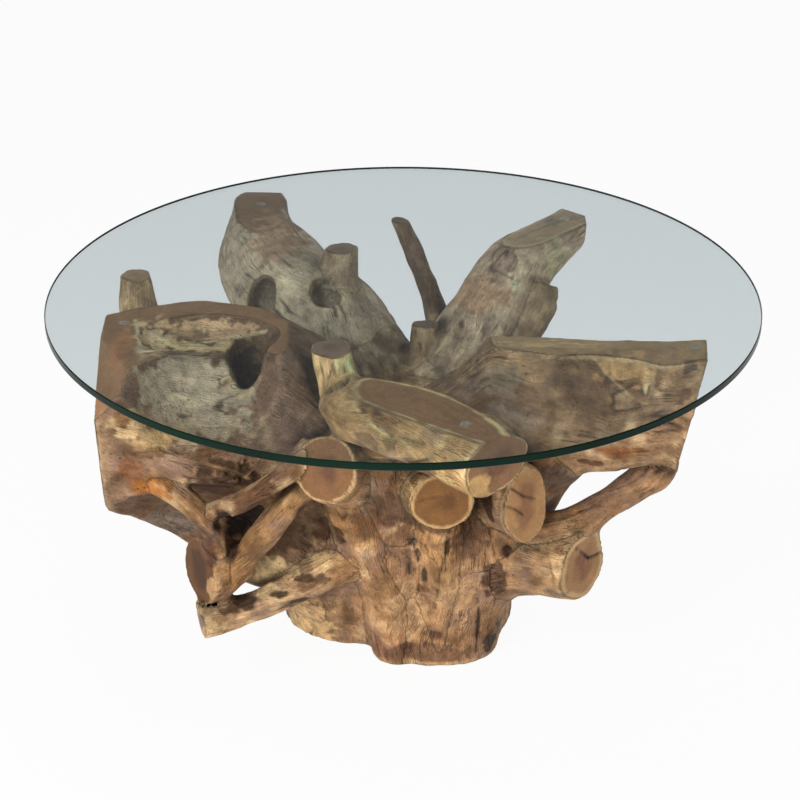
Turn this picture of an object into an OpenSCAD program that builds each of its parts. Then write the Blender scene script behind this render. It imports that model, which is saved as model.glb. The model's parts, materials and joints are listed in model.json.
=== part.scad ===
/* [Table] */
// Overall height, floor to the upper face of the glass
table_h = 450; // [380:5:500]
// How far the longest root reaches from the middle of the table
root_reach = 376; // [340:2:390]

/* [Glass] */
// Diameter of the round glass top
glass_d = 900; // [820:10:1000]
// Thickness of the glass
glass_t = 10; // [8:1:15]
// Width of the ground bevel on both edges of the glass
glass_bevel = 1.2; // [0.5:0.1:2.5]

/* [Pads] */
// Diameter of the clear pads between the root tips and the glass
pad_d = 14; // [10:1:18]
// Thickness of the clear pads
pad_t = 2; // [1:0.5:4]

/* [Joints between the roots] */
// Thickness of the glue line where one root seats on another
glue_gap = 0.2; // [0.1:0.05:0.4]
// Diameter of the hidden dowels
dowel_d = 12; // [8:1:16]
// Length of the hidden dowels
dowel_l = 50; // [36:2:60]
// Room round a dowel in its hole
dowel_room = 0.2; // [0.1:0.05:0.4]

/* [Foot and trunk] */
// Width of the sawn foot, left to right
foot_w = 300; // [280:2:330]
// Depth of the sawn foot, front to back
foot_depth = 200; // [180:2:220]
// Width of the trunk where the roots leave it
trunk_w = 352; // [330:2:370]
// Depth of the trunk where the roots leave it
trunk_depth = 280; // [264:2:300]

/* [Root girths] */
// Height of the left burl at its thickest
burl_h = 300; // [280:5:320]
// Girth across of the back-left limb
back_left_d = 134; // [120:2:150]
// Girth across of the back-right limb
back_right_d = 104; // [90:2:120]
// Diameter of the peg at the back of the left burl
peg_d = 40; // [34:1:46]
// Diameter of the knob on the back-left limb
knob_d = 42; // [36:1:48]
// Diameter of the knob behind the back-right limb
right_knob_d = 48; // [42:1:54]
// Thickness of the right slab root
slab_d = 84; // [70:2:96]
// Diameter of the thin straight root at the back
thin_d = 28; // [22:1:36]
// Diameter of the low log at the right
low_log_d = 84; // [70:2:96]
// Diameter of the round logs sawn off at the front
front_log_d = 76; // [66:1:88]
// Width of the tall log sawn off at the front right
tall_log_w = 60; // [50:1:70]
// Girth of the centre root
centre_d = 84; // [74:1:94]
// Diameter of the loop strut at the right
strut_d = 38; // [32:1:44]
// Diameter of the diagonal root at the left
diagonal_d = 32; // [26:1:38]
// Diameter of the low branch at the left
branch_d = 42; // [36:1:50]
// Height of the sawn face of the hook root
hook_h = 82; // [70:1:92]
// Diameter of the forked root under the burl
fork_d = 30; // [24:1:36]

/* [Hidden] */

// The sawn tips lie in one plane, one pad under the glass.
seat_z = table_h - glass_t - pad_t;

// The paths below are drawn for a seat plane 438 mm up and a reach of 376 mm.
drawn_seat = 438;
drawn_reach = 376;
rise = seat_z / drawn_seat;
spread = root_reach / drawn_reach;

heart = "#9A6A3E";
sap = "#D2B27C";
bark = "#A98662";
weathered = "#8F7355";

// A path is a list of stations: x, y, z, half width and half height as shares of
// the root's half girth, and the turn of the section about the path where it has one.
function laid(path, d) = [for (s = path)
    [s[0] * spread, s[1] * spread, s[2] * rise, s[3] * d / 2, s[4] * d / 2, is_undef(s[5]) ? 0 : s[5]]];

// Smooth curve through the stations, with some rings between each two.
function smooth_at(p0, p1, p2, p3, t) = 0.5 * (2 * p1 + (p2 - p0) * t
    + (2 * p0 - 5 * p1 + 4 * p2 - p3) * t * t + (3 * p1 - p0 - 3 * p2 + p3) * t * t * t);
function smooth(s, n) = [
    for (i = [0:len(s) - 2]) for (j = [0:n - 1])
        smooth_at(s[max(i - 1, 0)], s[i], s[i + 1], s[min(i + 2, len(s) - 1)], j / n),
    s[len(s) - 1]
];

function place(s) = [s[0], s[1], s[2]];
function unit(v) = v / norm(v);
function heading(s, i) = unit(place(s[min(i + 1, len(s) - 1)]) - place(s[max(i - 1, 0)]));

// A section is a squared oval across the path, with flutes that wind along the root.
// A power of 2 is an ellipse, and a higher one is squarer.
function squared(c, power) = sign(c) * pow(abs(c), 2 / power);
function flute(turn, i, depth) = 1 + depth * (0.6 * sin(3 * turn + 23 * i) + 0.4 * sin(5 * turn - 31 * i));
function ring(s, i, sides, depth, power, up, face, grow) =
    let (along = is_undef(face) ? heading(s, i) : face, across = unit(cross(along, up)),
        over = cross(across, along), roll = s[i][5])
    [for (k = [0:sides - 1])
        let (turn = k * 360 / sides, f = flute(turn, i, depth),
            w = (s[i][3] * f + grow) * squared(cos(turn), power),
            h = (s[i][4] * f + grow) * squared(sin(turn), power))
        place(s[i]) + across * (w * cos(roll) - h * sin(roll)) + over * (w * sin(roll) + h * cos(roll))];

// One closed solid through all rings of a path, with sawn ends. The sections lie
// square to the path, or all face one way where that is given.
module loft(path, sides = 12, steps = 2, depth = 0.06, power = 2, up = [0, 0, 1], face = undef, grow = 0) {
    s = smooth(path, steps);
    rings = len(s);
    points = [for (i = [0:rings - 1]) each ring(s, i, sides, depth, power, up, face, grow)];
    walls = [for (i = [0:rings - 2]) for (k = [0:sides - 1])
        let (a = i * sides + k, b = i * sides + (k + 1) % sides)
        each [[a, b, b + sides], [a, b + sides, a + sides]]];
    start = [for (k = [0:sides - 1]) sides - 1 - k];
    end = [for (k = [0:sides - 1]) (rings - 1) * sides + k];
    polyhedron(points, concat(walls, [start, end]), convexity = 8);
}

// Everything above the plane of the sawn tips, and everything below the floor, as wide as the glass.
module above_seat(drop = 0) {
    translate([-glass_d / 2, -glass_d / 2, seat_z - drop]) cube(glass_d);
}
module below_floor() {
    translate([-glass_d / 2, -glass_d / 2, -glass_d]) cube(glass_d);
}

// Everything past a saw cut through a point, facing a heading (turn) and a tilt.
module past_saw(point, turn, tilt, depth = 200, wide = 400) {
    translate([point[0] * spread, point[1] * spread, point[2] * rise]) rotate([0, -tilt, turn])
        translate([0, -wide / 2, -wide / 2]) cube([depth, wide, wide]);
}

// Trunk: a squared oval at each height. Each row: height, x and y of its middle,
// and its width and depth as shares of the trunk's own, then of the foot's.
trunk_rows = [
    [0, -7, -18, 0, 1], [30, -7, -20, 0.1, 0.9], [75, -3, -32, 0.35, 0.65], [120, 6, -44, 0.8, 0.2],
    [165, 8, -50, 1, 0], [210, 6, -52, 0.99, 0], [250, 6, -48, 0.9, 0], [285, 10, -34, 0.7, 0],
    [312, 14, -14, 0.45, 0]
];
oval_power = 2.7;
function squared_oval(w, d, n = 24) = [for (k = [0:n - 1])
    [w / 2 * squared(cos(k * 360 / n), oval_power), d / 2 * squared(sin(k * 360 / n), oval_power)]];
module trunk_slice(row, grow) {
    w = row[3] * trunk_w + row[4] * foot_w + 2 * grow;
    d = row[3] * trunk_depth + row[4] * foot_depth + 2 * grow;
    translate([row[1] * spread, row[2] * spread, row[0] * rise]) linear_extrude(0.01)
        polygon(squared_oval(w, d));
}
module trunk_core(grow = 0) {
    for (i = [0:len(trunk_rows) - 2]) hull() {
        trunk_slice(trunk_rows[i], grow);
        trunk_slice(trunk_rows[i + 1], grow);
    }
}

// Flares where the roots leave the trunk, the bulge of its front, and the ridges down it.
flare_left = [
    [-30, -55, 20, 0.65, 0.6], [-100, -72, 92, 0.8, 0.7], [-150, -90, 165, 0.95, 0.8],
    [-200, -105, 232, 0.7, 0.55]
];
flare_front = [
    [-10, -60, 90, 0.6, 0.6], [-18, -115, 180, 0.8, 0.7], [-18, -165, 270, 0.9, 0.6],
    [-24, -222, 354, 0.7, 0.35]
];
flare_right = [
    [40, -40, 90, 0.8, 0.8], [96, -75, 165, 0.85, 0.85], [142, -105, 238, 0.62, 0.7],
    [196, -135, 310, 0.5, 0.55]
];
flare_back_left = [
    [-10, -10, 110, 1, 1], [-30, 30, 200, 1.15, 1.1], [-55, 75, 280, 1, 0.9],
    [-75, 110, 325, 0.7, 0.6]
];
flare_back_right = [
    [20, -10, 110, 1, 1], [40, 25, 200, 1.1, 1.05], [60, 60, 280, 0.85, 0.8], [75, 85, 325, 0.55, 0.5]
];
bulge = [
    [40, -92, -8, 1.05, 0.88], [42, -92, 60, 1.08, 0.9], [50, -98, 130, 1.16, 0.92],
    [54, -105, 200, 1.15, 0.9]
];
ridge_left = [
    [-14, -142, -5, 0.8, 0.8], [-20, -150, 80, 1, 1], [-45, -170, 180, 1.1, 1], [-75, -195, 280, 1, 1]
];
ridge_middle = [
    [45, -150, -5, 0.9, 0.6], [45, -156, 80, 1, 0.7], [44, -178, 180, 1, 1], [45, -205, 270, 1, 1]
];
ridge_right = [
    [98, -120, -5, 0.8, 0.9], [106, -130, 80, 1, 1], [124, -150, 170, 1, 1], [135, -175, 250, 1, 1]
];
crown_stub = [[20, 40, 290, 1, 1], [26, 55, 330, 0.9, 0.9], [28, 62, 373, 0.8, 0.8]];
flare_d = 170;
ridge_d = 54;
stub_d = 44;

module root_stump_raw(grow = 0) {
    difference() {
        union() {
            trunk_core(grow);
            for (path = [flare_left, flare_front, flare_right, flare_back_left, flare_back_right])
                loft(laid(path, flare_d), sides = 12, grow = grow);
            loft(laid(bulge, flare_d), sides = 14, power = 2.5, up = [0, 1, 0], grow = grow);
            for (path = [ridge_left, ridge_middle, ridge_right])
                loft(laid(path, ridge_d), sides = 10, up = [0, 1, 0], grow = grow);
            loft(laid(crown_stub, stub_d), sides = 10, up = [0, 1, 0], grow = grow);
        }
        below_floor();
    }
}

// The roots, each along its own path.
burl_path = [
    [-90, -88, 248, 0.61, 1.01], [-160, -104, 281, 0.69, 1.14], [-220, -114, 306, 0.85, 1.04],
    [-280, -118, 326, 0.88, 0.91], [-345, -132, 348, 0.76, 0.76], [-380, -140, 360, 0.66, 0.68]
];
back_peg_path = [
    [-312, -30, 330, 1.9, 1.8], [-330, 12, 370, 1.7, 1.5], [-343, 52, 410, 1.2, 1.1],
    [-347, 80, 448, 0.9, 0.8]
];
back_left_path = [
    [-40, 40, 265, 0.9, 0.75], [-94, 115, 328, 1.2, 1.04], [-153, 188, 360, 1.19, 1.02],
    [-190, 258, 388, 1, 0.87], [-200, 308, 415, 0.66, 0.68], [-197, 344, 455, 0.46, 0.52]
];
knob_path = [
    [-88, 138, 384, 1.4, 1.4], [-85, 151, 410, 1.25, 1.25], [-80, 164, 446, 0.95, 0.85]
];
thin_path = [
    [66, 84, 262, 1.4, 1.4], [56, 138, 300, 1.3, 1.25], [40, 184, 352, 1.1, 1.1],
    [20, 220, 394, 1, 1], [-13, 272, 452, 0.75, 0.75]
];
back_right_path = [
    [40, 30, 270, 0.9, 0.9], [88, 92, 332, 1, 1], [128, 146, 374, 0.95, 0.92],
    [160, 184, 403, 0.84, 0.84], [202, 232, 420, 0.72, 0.62], [246, 282, 432, 0.6, 0.42]
];
right_knob_path = [
    [120, 60, 300, 1.1, 1.1], [155, 95, 340, 1, 1], [180, 120, 370, 0.95, 0.9],
    [190, 132, 398, 0.6, 0.6]
];
slab_path = [
    [14, -118, 336, 0.4, 0.58], [45, -122, 347, 0.42, 0.8], [84, -127, 366, 0.42, 1.05],
    [115, -131, 384, 0.48, 1.45], [170, -140, 370, 0.7, 1.9], [245, -156, 372, 0.88, 1.95],
    [310, -160, 380, 0.92, 1.8], [350, -152, 362, 0.86, 2.05], [380, -148, 360, 0.84, 2.05]
];
strut_path = [
    [318, -144, 296, 1.2, 1.3], [314, -146, 278, 1.3, 1.3], [290, -153, 260, 1.05, 1.15],
    [245, -175, 240, 0.95, 1.05], [200, -186, 222, 0.95, 0.95], [150, -166, 206, 0.95, 0.85],
    [100, -120, 205, 1.2, 1.2]
];
low_log_path = [
    [60, -80, 110, 1.3, 1.4], [118, -125, 135, 1.05, 1.2], [171, -165, 155, 0.95, 1.1],
    [230, -206, 172, 1.04, 1.1]
];
tall_log_path = [
    [95, -120, 240, 1.1, 1.5], [118, -170, 258, 1.05, 1.6], [136, -215, 274, 1, 1.65],
    [147, -248, 282, 0.95, 1.6, 8]
];
middle_log_path = [
    [24, -130, 255, 1.2, 1.2], [33, -190, 280, 1.08, 1.08], [41, -240, 296, 1.02, 1],
    [46, -272, 301, 1.02, 0.98]
];
left_log_path = [
    [-40, -120, 250, 1.1, 1.1], [-62, -175, 285, 1, 1], [-80, -225, 315, 1, 1],
    [-92, -258, 334, 1, 1]
];
centre_post_path = [
    [-48, -218, 372, 0.85, 0.75], [-66, -198, 388, 0.72, 0.68], [-80, -168, 410, 0.6, 0.6],
    [-90, -140, 448, 0.6, 0.6]
];
centre_slab_path = [
    [-66, -208, 388, 0.85, 0.75], [-56, -232, 401, 1, 0.84], [-38, -260, 408, 1.15, 0.9],
    [3, -288, 411, 1.26, 0.92], [44, -320, 411, 1.26, 0.92], [80, -352, 409, 1.2, 0.9],
    [104, -380, 407, 1.12, 0.85]
];
diagonal_path = [
    [-240, -228, 135, 0.95, 0.95], [-205, -236, 190, 1, 1], [-163, -242, 248, 1.05, 1.05],
    [-122, -236, 298, 1.1, 1.1], [-85, -215, 324, 1.1, 1.1]
];
hook_path = [
    [-190, -212, 188, 0.45, 0.55], [-215, -224, 188, 0.6, 0.85], [-240, -238, 189, 0.72, 1.1],
    [-270, -254, 188, 0.7, 1.05]
];
branch_path = [
    [-250, -244, 116, 1, 1.08], [-200, -226, 121, 0.88, 0.88], [-150, -210, 133, 0.92, 0.88],
    [-98, -186, 152, 1.15, 1.1], [-40, -130, 165, 1.6, 1.6]
];
fork_path = [
    [-325, -205, 330, 1.2, 1.2], [-290, -238, 308, 1.1, 1.1], [-254, -252, 284, 1, 1],
    [-233, -252, 252, 0.9, 0.9], [-226, -244, 214, 0.9, 0.9]
];
fork_arm_path = [
    [-240, -250, 272, 0.9, 0.8], [-198, -256, 290, 0.85, 0.85], [-152, -252, 318, 0.95, 0.9],
    [-108, -224, 342, 1.2, 1]
];

// Hollows carved in a root: the middle of each, and its half width, half depth and half height.
burl_slope = [[-218, -375, 560], [172, 262, 262]];
burl_trough = [[-238, -108, 446], [92, 64, 30]];
burl_hollow = [[-188, -122, 424], [27, 52, 98]];
burl_undercut = [[-230, -300, 200], [190, 128, 122]];
back_left_hollow = [[-103, 104, 394], [19, 24, 26]];
back_left_recess = [[-182, 128, 372], [22, 30, 34]];
slab_hollow = [[215, -232, 420], [110, 68, 80]];
module hollow(shape, n = 20) {
    translate([shape[0][0] * spread, shape[0][1] * spread, shape[0][2] * rise])
        scale([shape[1][0] * spread, shape[1][1] * spread, shape[1][2] * rise]) sphere(1, $fn = n);
}

module left_burl_raw(grow = 0) {
    difference() {
        loft(laid(burl_path, burl_h), sides = 20, depth = 0.04, power = 3.5, face = [-1, 0, 0], grow = grow);
        above_seat(-grow);
        past_saw([-371, -70, 438], 181, -3);
        past_saw([-356, -190, 420], 205, 48);
        hollow(burl_slope, 26);
        hollow(burl_trough, 16);
        hollow(burl_hollow, 16);
        hollow(burl_undercut, 18);
    }
}
module left_back_peg_raw(grow = 0) {
    loft(laid(back_peg_path, peg_d), sides = 10, up = [0, 1, 0], grow = grow);
}
module back_left_limb_raw(grow = 0) {
    difference() {
        loft(laid(back_left_path, back_left_d), sides = 14, depth = 0.08, grow = grow);
        hollow(back_left_hollow, 14);
        hollow(back_left_recess, 14);
    }
}
module back_left_knob_raw(grow = 0) {
    loft(laid(knob_path, knob_d), sides = 10, up = [0, 1, 0], grow = grow);
}
module thin_back_root_raw(grow = 0) {
    loft(laid(thin_path, thin_d), sides = 10, depth = 0.03, grow = grow);
}
module back_right_limb_raw(grow = 0) {
    difference() {
        loft(laid(back_right_path, back_right_d), sides = 14, depth = 0.07, grow = grow);
        past_saw([250, 260, 430], 0, -15);
    }
}
module back_right_knob_raw(grow = 0) {
    loft(laid(right_knob_path, right_knob_d), sides = 10, grow = grow);
}
module right_slab_raw(grow = 0) {
    difference() {
        loft(laid(slab_path, slab_d), sides = 16, depth = 0.04, power = 4, face = [1, 0, 0], grow = grow);
        past_saw([370, -125, 438], -6, -12);
        hollow(slab_hollow, 18);
    }
}
module right_loop_strut_raw(grow = 0) {
    loft(laid(strut_path, strut_d), sides = 10, grow = grow);
}
module right_low_log_raw(grow = 0) {
    difference() {
        loft(laid(low_log_path, low_log_d), sides = 12, grow = grow);
        past_saw([220, -204, 171], -42, 3);
    }
}
module right_front_log_raw(grow = 0) {
    loft(laid(tall_log_path, tall_log_w), sides = 12, grow = grow);
}
module middle_front_log_raw(grow = 0) {
    loft(laid(middle_log_path, front_log_d), sides = 12, depth = 0.03, grow = grow);
}
module left_front_log_raw(grow = 0) {
    loft(laid(left_log_path, front_log_d), sides = 12, depth = 0.02, grow = grow);
}
module centre_post_raw(grow = 0) {
    loft(laid(centre_post_path, centre_d), sides = 12, up = [0, 1, 0], grow = grow);
}
module centre_slab_root_raw(grow = 0) {
    loft(laid(centre_slab_path, centre_d), sides = 12, grow = grow);
}
module left_diagonal_root_raw(grow = 0) {
    loft(laid(diagonal_path, diagonal_d), sides = 10, grow = grow);
}
module left_hook_raw(grow = 0) {
    difference() {
        loft(laid(hook_path, hook_h), sides = 12, depth = 0.04, grow = grow);
        past_saw([-249, -243, 190], 222, 0);
    }
}
module left_low_branch_raw(grow = 0) {
    loft(laid(branch_path, branch_d), sides = 10, grow = grow);
}
module left_fork_raw(grow = 0) {
    loft(laid(fork_path, fork_d), sides = 10, grow = grow);
    loft(laid(fork_arm_path, fork_d), sides = 10, grow = grow);
}

// Each hidden dowel lies along a path, where the root leaves its seat: the path, and
// the ring of its smooth curve, counted from its first station.
knob_pin = [[-94, 142, 354, 1, 1], [-86, 158, 452, 1, 1]];
hook_pin = [[-177, -234, 196, 1, 1], [-265, -236, 196, 1, 1]];
slab_root_pin = [[-70, -191, 378, 1, 1], [-14, -261, 398, 1, 1]];
post_pin = [[-62, -206, 338, 1, 1], [-74, -182, 420, 1, 1]];
strut_pin = [[310, -152, 250, 1, 1], [318, -156, 354, 1, 1]];
pins = [
    [burl_path, 1.1], [back_peg_path, 1.5], [back_left_path, 2.2], [knob_pin, 1], [thin_path, 1.4],
    [back_right_path, 1.5], [right_knob_path, 1], [flare_right, 5.9], [strut_pin, 1], [strut_path, 9.5],
    [low_log_path, 3.5], [tall_log_path, 2.4], [middle_log_path, 2.5], [left_log_path, 3.5],
    [post_pin, 1], [slab_root_pin, 1], [branch_path, 6.6], [diagonal_path, 6.5],
    [hook_pin, 1], [fork_path, 2.3]
];
module along_pin(pin) {
    rings = smooth(laid(pin[0], 1), 2);
    first = place(rings[floor(pin[1])]);
    next = place(rings[floor(pin[1]) + 1]);
    run = unit(next - first);
    translate(first + (next - first) * (pin[1] - floor(pin[1])))
        rotate([0, acos(run[2]), atan2(run[1], run[0])])
            children();
}
// The holes are flat-sided, and their flats clear the dowel by the room round it.
hole_sides = 16;
module dowel_holes() {
    for (pin = pins) along_pin(pin)
        cylinder(h = dowel_l + 2 * dowel_room, d = (dowel_d + 2 * dowel_room) / cos(180 / hole_sides),
            center = true, $fn = hole_sides);
}

// The node modules: each root is coped round what it seats on, one glue line away.
module root_stump() {
    color(bark) difference() {
        root_stump_raw();
        dowel_holes();
    }
}
module left_burl() {
    color(weathered) difference() {
        left_burl_raw();
        dowel_holes();
        root_stump_raw(glue_gap);
    }
}
module left_back_peg() {
    color(sap) difference() {
        left_back_peg_raw();
        dowel_holes();
        above_seat();
        left_burl_raw(glue_gap);
        root_stump_raw(glue_gap);
    }
}
module back_left_limb() {
    color(weathered) difference() {
        back_left_limb_raw();
        dowel_holes();
        above_seat();
        root_stump_raw(glue_gap);
        left_burl_raw(glue_gap);
    }
}
module back_left_knob() {
    color(bark) difference() {
        back_left_knob_raw();
        dowel_holes();
        above_seat();
        back_left_limb_raw(glue_gap);
        root_stump_raw(glue_gap);
    }
}
module thin_back_root() {
    color(weathered) difference() {
        thin_back_root_raw();
        dowel_holes();
        above_seat();
        root_stump_raw(glue_gap);
    }
}
module back_right_limb() {
    color(sap) difference() {
        back_right_limb_raw();
        dowel_holes();
        above_seat();
        root_stump_raw(glue_gap);
        thin_back_root_raw(glue_gap);
    }
}
module back_right_knob() {
    color(bark) difference() {
        back_right_knob_raw();
        dowel_holes();
        above_seat();
        root_stump_raw(glue_gap);
        back_right_limb_raw(glue_gap);
    }
}
module right_slab() {
    color(weathered) difference() {
        right_slab_raw();
        dowel_holes();
        above_seat();
        root_stump_raw(glue_gap);
        back_right_knob_raw(glue_gap);
    }
}
module right_loop_strut() {
    color(bark) difference() {
        right_loop_strut_raw();
        dowel_holes();
        right_slab_raw(glue_gap);
        root_stump_raw(glue_gap);
    }
}
module right_low_log() {
    color(bark) difference() {
        right_low_log_raw();
        dowel_holes();
        root_stump_raw(glue_gap);
        right_loop_strut_raw(glue_gap);
    }
}
module right_front_log() {
    color(heart) difference() {
        right_front_log_raw();
        dowel_holes();
        root_stump_raw(glue_gap);
        right_slab_raw(glue_gap);
        right_loop_strut_raw(glue_gap);
    }
}
module middle_front_log() {
    color(heart) difference() {
        middle_front_log_raw();
        dowel_holes();
        root_stump_raw(glue_gap);
        right_slab_raw(glue_gap);
        right_front_log_raw(glue_gap);
    }
}
module left_front_log() {
    color(heart) difference() {
        left_front_log_raw();
        dowel_holes();
        root_stump_raw(glue_gap);
        left_burl_raw(glue_gap);
    }
}
module centre_post() {
    color(sap) difference() {
        centre_post_raw();
        dowel_holes();
        above_seat();
        root_stump_raw(glue_gap);
        left_burl_raw(glue_gap);
        left_front_log_raw(glue_gap);
    }
}
module centre_slab_root() {
    color(heart) difference() {
        centre_slab_root_raw();
        dowel_holes();
        above_seat();
        root_stump_raw(glue_gap);
        left_burl_raw(glue_gap);
        centre_post_raw(glue_gap);
        middle_front_log_raw(glue_gap);
        left_front_log_raw(glue_gap);
    }
}
module left_diagonal_root() {
    color(bark) difference() {
        left_diagonal_root_raw();
        dowel_holes();
        root_stump_raw(glue_gap);
        left_front_log_raw(glue_gap);
        left_low_branch_raw(glue_gap);
        left_burl_raw(glue_gap);
    }
}
module left_hook() {
    color(heart) difference() {
        left_hook_raw();
        dowel_holes();
        left_low_branch_raw(glue_gap);
        left_diagonal_root_raw(glue_gap);
        root_stump_raw(glue_gap);
    }
}
module left_low_branch() {
    color(sap) difference() {
        left_low_branch_raw();
        dowel_holes();
        root_stump_raw(glue_gap);
        left_burl_raw(glue_gap);
    }
}
module left_fork() {
    color(bark) difference() {
        left_fork_raw();
        dowel_holes();
        root_stump_raw(glue_gap);
        left_burl_raw(glue_gap);
        left_front_log_raw(glue_gap);
        left_diagonal_root_raw(glue_gap);
        left_hook_raw(glue_gap);
    }
}

// Clear pads on the sawn tips, as shares of the drawn reach.
pad_places = [[-197, 312], [222, 258], [-345, -80], [352, -150], [70, -350]];
module glass_pads() {
    color([0.9, 0.93, 0.92, 0.6]) for (p = pad_places)
        translate([p[0] * spread, p[1] * spread, seat_z]) cylinder(h = pad_t, d = pad_d, $fn = 48);
}

module joint_dowels() {
    color("#C9A66B") for (pin = pins) along_pin(pin)
        cylinder(h = dowel_l, d = dowel_d, center = true, $fn = 32);
}

module glass_top() {
    r = glass_d / 2;
    color([0.55, 0.72, 0.68, 0.35]) translate([0, 0, table_h - glass_t]) rotate_extrude($fn = 180)
        polygon([[0, 0], [r - glass_bevel, 0], [r, glass_bevel], [r, glass_t - glass_bevel],
            [r - glass_bevel, glass_t], [0, glass_t]]);
}

glass_top();
glass_pads();
joint_dowels();
root_stump();
left_burl();
left_back_peg();
back_left_limb();
back_left_knob();
thin_back_root();
back_right_limb();
back_right_knob();
right_slab();
right_loop_strut();
right_low_log();
right_front_log();
middle_front_log();
left_front_log();
centre_post();
centre_slab_root();
left_diagonal_root();
left_hook();
left_low_branch();
left_fork();
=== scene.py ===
"""Round coffee table: a loose round glass top on a base sawn from one branching teak root.

The wood is one skin drawn round all the limbs, so that they grow out of the trunk without a line,
and then parted again into one closed piece for each root of the part. Lengths are in metres.
"""
import json
from concurrent.futures import ThreadPoolExecutor

import bpy
import numpy as np
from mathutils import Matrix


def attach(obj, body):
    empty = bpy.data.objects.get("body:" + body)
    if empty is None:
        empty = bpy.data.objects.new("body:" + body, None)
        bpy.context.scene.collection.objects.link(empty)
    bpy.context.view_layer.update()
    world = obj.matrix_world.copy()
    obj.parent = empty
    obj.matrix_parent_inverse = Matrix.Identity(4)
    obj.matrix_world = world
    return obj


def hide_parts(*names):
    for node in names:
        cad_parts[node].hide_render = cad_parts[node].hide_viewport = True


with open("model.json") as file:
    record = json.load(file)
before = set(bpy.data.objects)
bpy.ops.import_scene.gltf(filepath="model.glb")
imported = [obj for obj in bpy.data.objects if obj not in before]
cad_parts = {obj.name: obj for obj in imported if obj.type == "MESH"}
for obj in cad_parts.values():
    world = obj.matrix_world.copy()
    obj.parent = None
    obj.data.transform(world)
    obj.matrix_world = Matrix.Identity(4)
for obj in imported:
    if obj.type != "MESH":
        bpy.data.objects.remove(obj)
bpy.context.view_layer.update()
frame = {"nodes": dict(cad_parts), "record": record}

SEAT = 0.438          # plane of the sawn tips
GLASS_R, GLASS_LOW, GLASS_TOP, ARRIS = 0.450, 0.440, 0.450, 0.0012


def placed(name, data):
    """A new object in the scene, at the origin."""
    thing = bpy.data.objects.new(name, data)
    bpy.context.scene.collection.objects.link(thing)
    return thing


# Camera
eye = bpy.data.cameras.new("table_camera")
eye.lens, eye.sensor_width = 99.0, 36.0
camera = placed("table_camera", eye)
camera.location = (-0.004, -2.545, 1.590)
camera.rotation_euler = (np.radians(90 - 26.90), 0, 0)
bpy.context.scene.camera = camera
bpy.context.scene.view_settings.view_transform = "Standard"


# Colour and noise
def linear(code):
    """An sRGB hex colour turned linear: (c/12.92) below 0.04045, else ((c+0.055)/1.055)^2.4."""
    c = np.array([int(code[i:i + 2], 16) for i in (0, 2, 4)]) / 255
    return np.where(c <= 0.04045, c / 12.92, ((c + 0.055) / 1.055) ** 2.4)


rng = np.random.default_rng(11)
SHUFFLE = np.tile(rng.permutation(256), 3)
SLOPES = rng.normal(size=(256, 3))
SLOPES = (SLOPES / np.linalg.norm(SLOPES, axis=1)[:, None]).astype(np.float32)


def corner_share(f, corner):
    """How much one of a cell's eight corners counts, for places f along the cell's three sides."""
    x, y, z = np.where(corner, f, 1 - f).T
    return x * y * z


def noise(p):
    """Gradient noise: the slope of each lattice corner times the way to it, mixed by 6t^5-15t^4+10t^3."""
    cell = np.floor(p).astype(np.int64)
    f = (p - cell).astype(np.float32)
    cell &= 255
    u = f * f * f * (f * (f * 6 - 15) + 10)
    total = np.zeros(len(p), np.float32)
    for corner in np.ndindex(2, 2, 2):
        i, j, k = (cell + corner).T
        x, y, z = (SLOPES[SHUFFLE[SHUFFLE[SHUFFLE[i] + j] + k]] * (f - np.float32(corner))).T
        total += corner_share(u, corner) * (x + y + z)
    return total * 1.5


def step(a, b, x):
    """0 below a, 1 above b, and 3t^2-2t^3 between."""
    t = np.clip((x - a) / (b - a), 0, 1)
    return t * t * (3 - 2 * t)


def soft_min(a, b, r):
    """The smaller of two distances, rounded where they are within r of each other."""
    return np.minimum(a, b) - np.maximum(r - np.abs(a - b), 0) ** 2 / (4 * r)


def soft_max(a, b, r):
    return -soft_min(-a, -b, r)


# The limbs, as in the part
# Stations: x, y, z in mm, half width and half height as shares of half the girth, turn of the section.
# A share given once is both, and a share left out is 1.
UP_Y, UP_Z = (0, 1, 0), (0, 0, 1)


def arm(node, tone, girth, blend, path, **more):
    """One limb: its node, colour, girth and the width of its joins in mm, stations, and what is its own,
    such as calm, which is how strong the mottle is."""
    return dict(node=node, tone=tone, girth=girth, blend=blend, path=path, **more)


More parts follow.
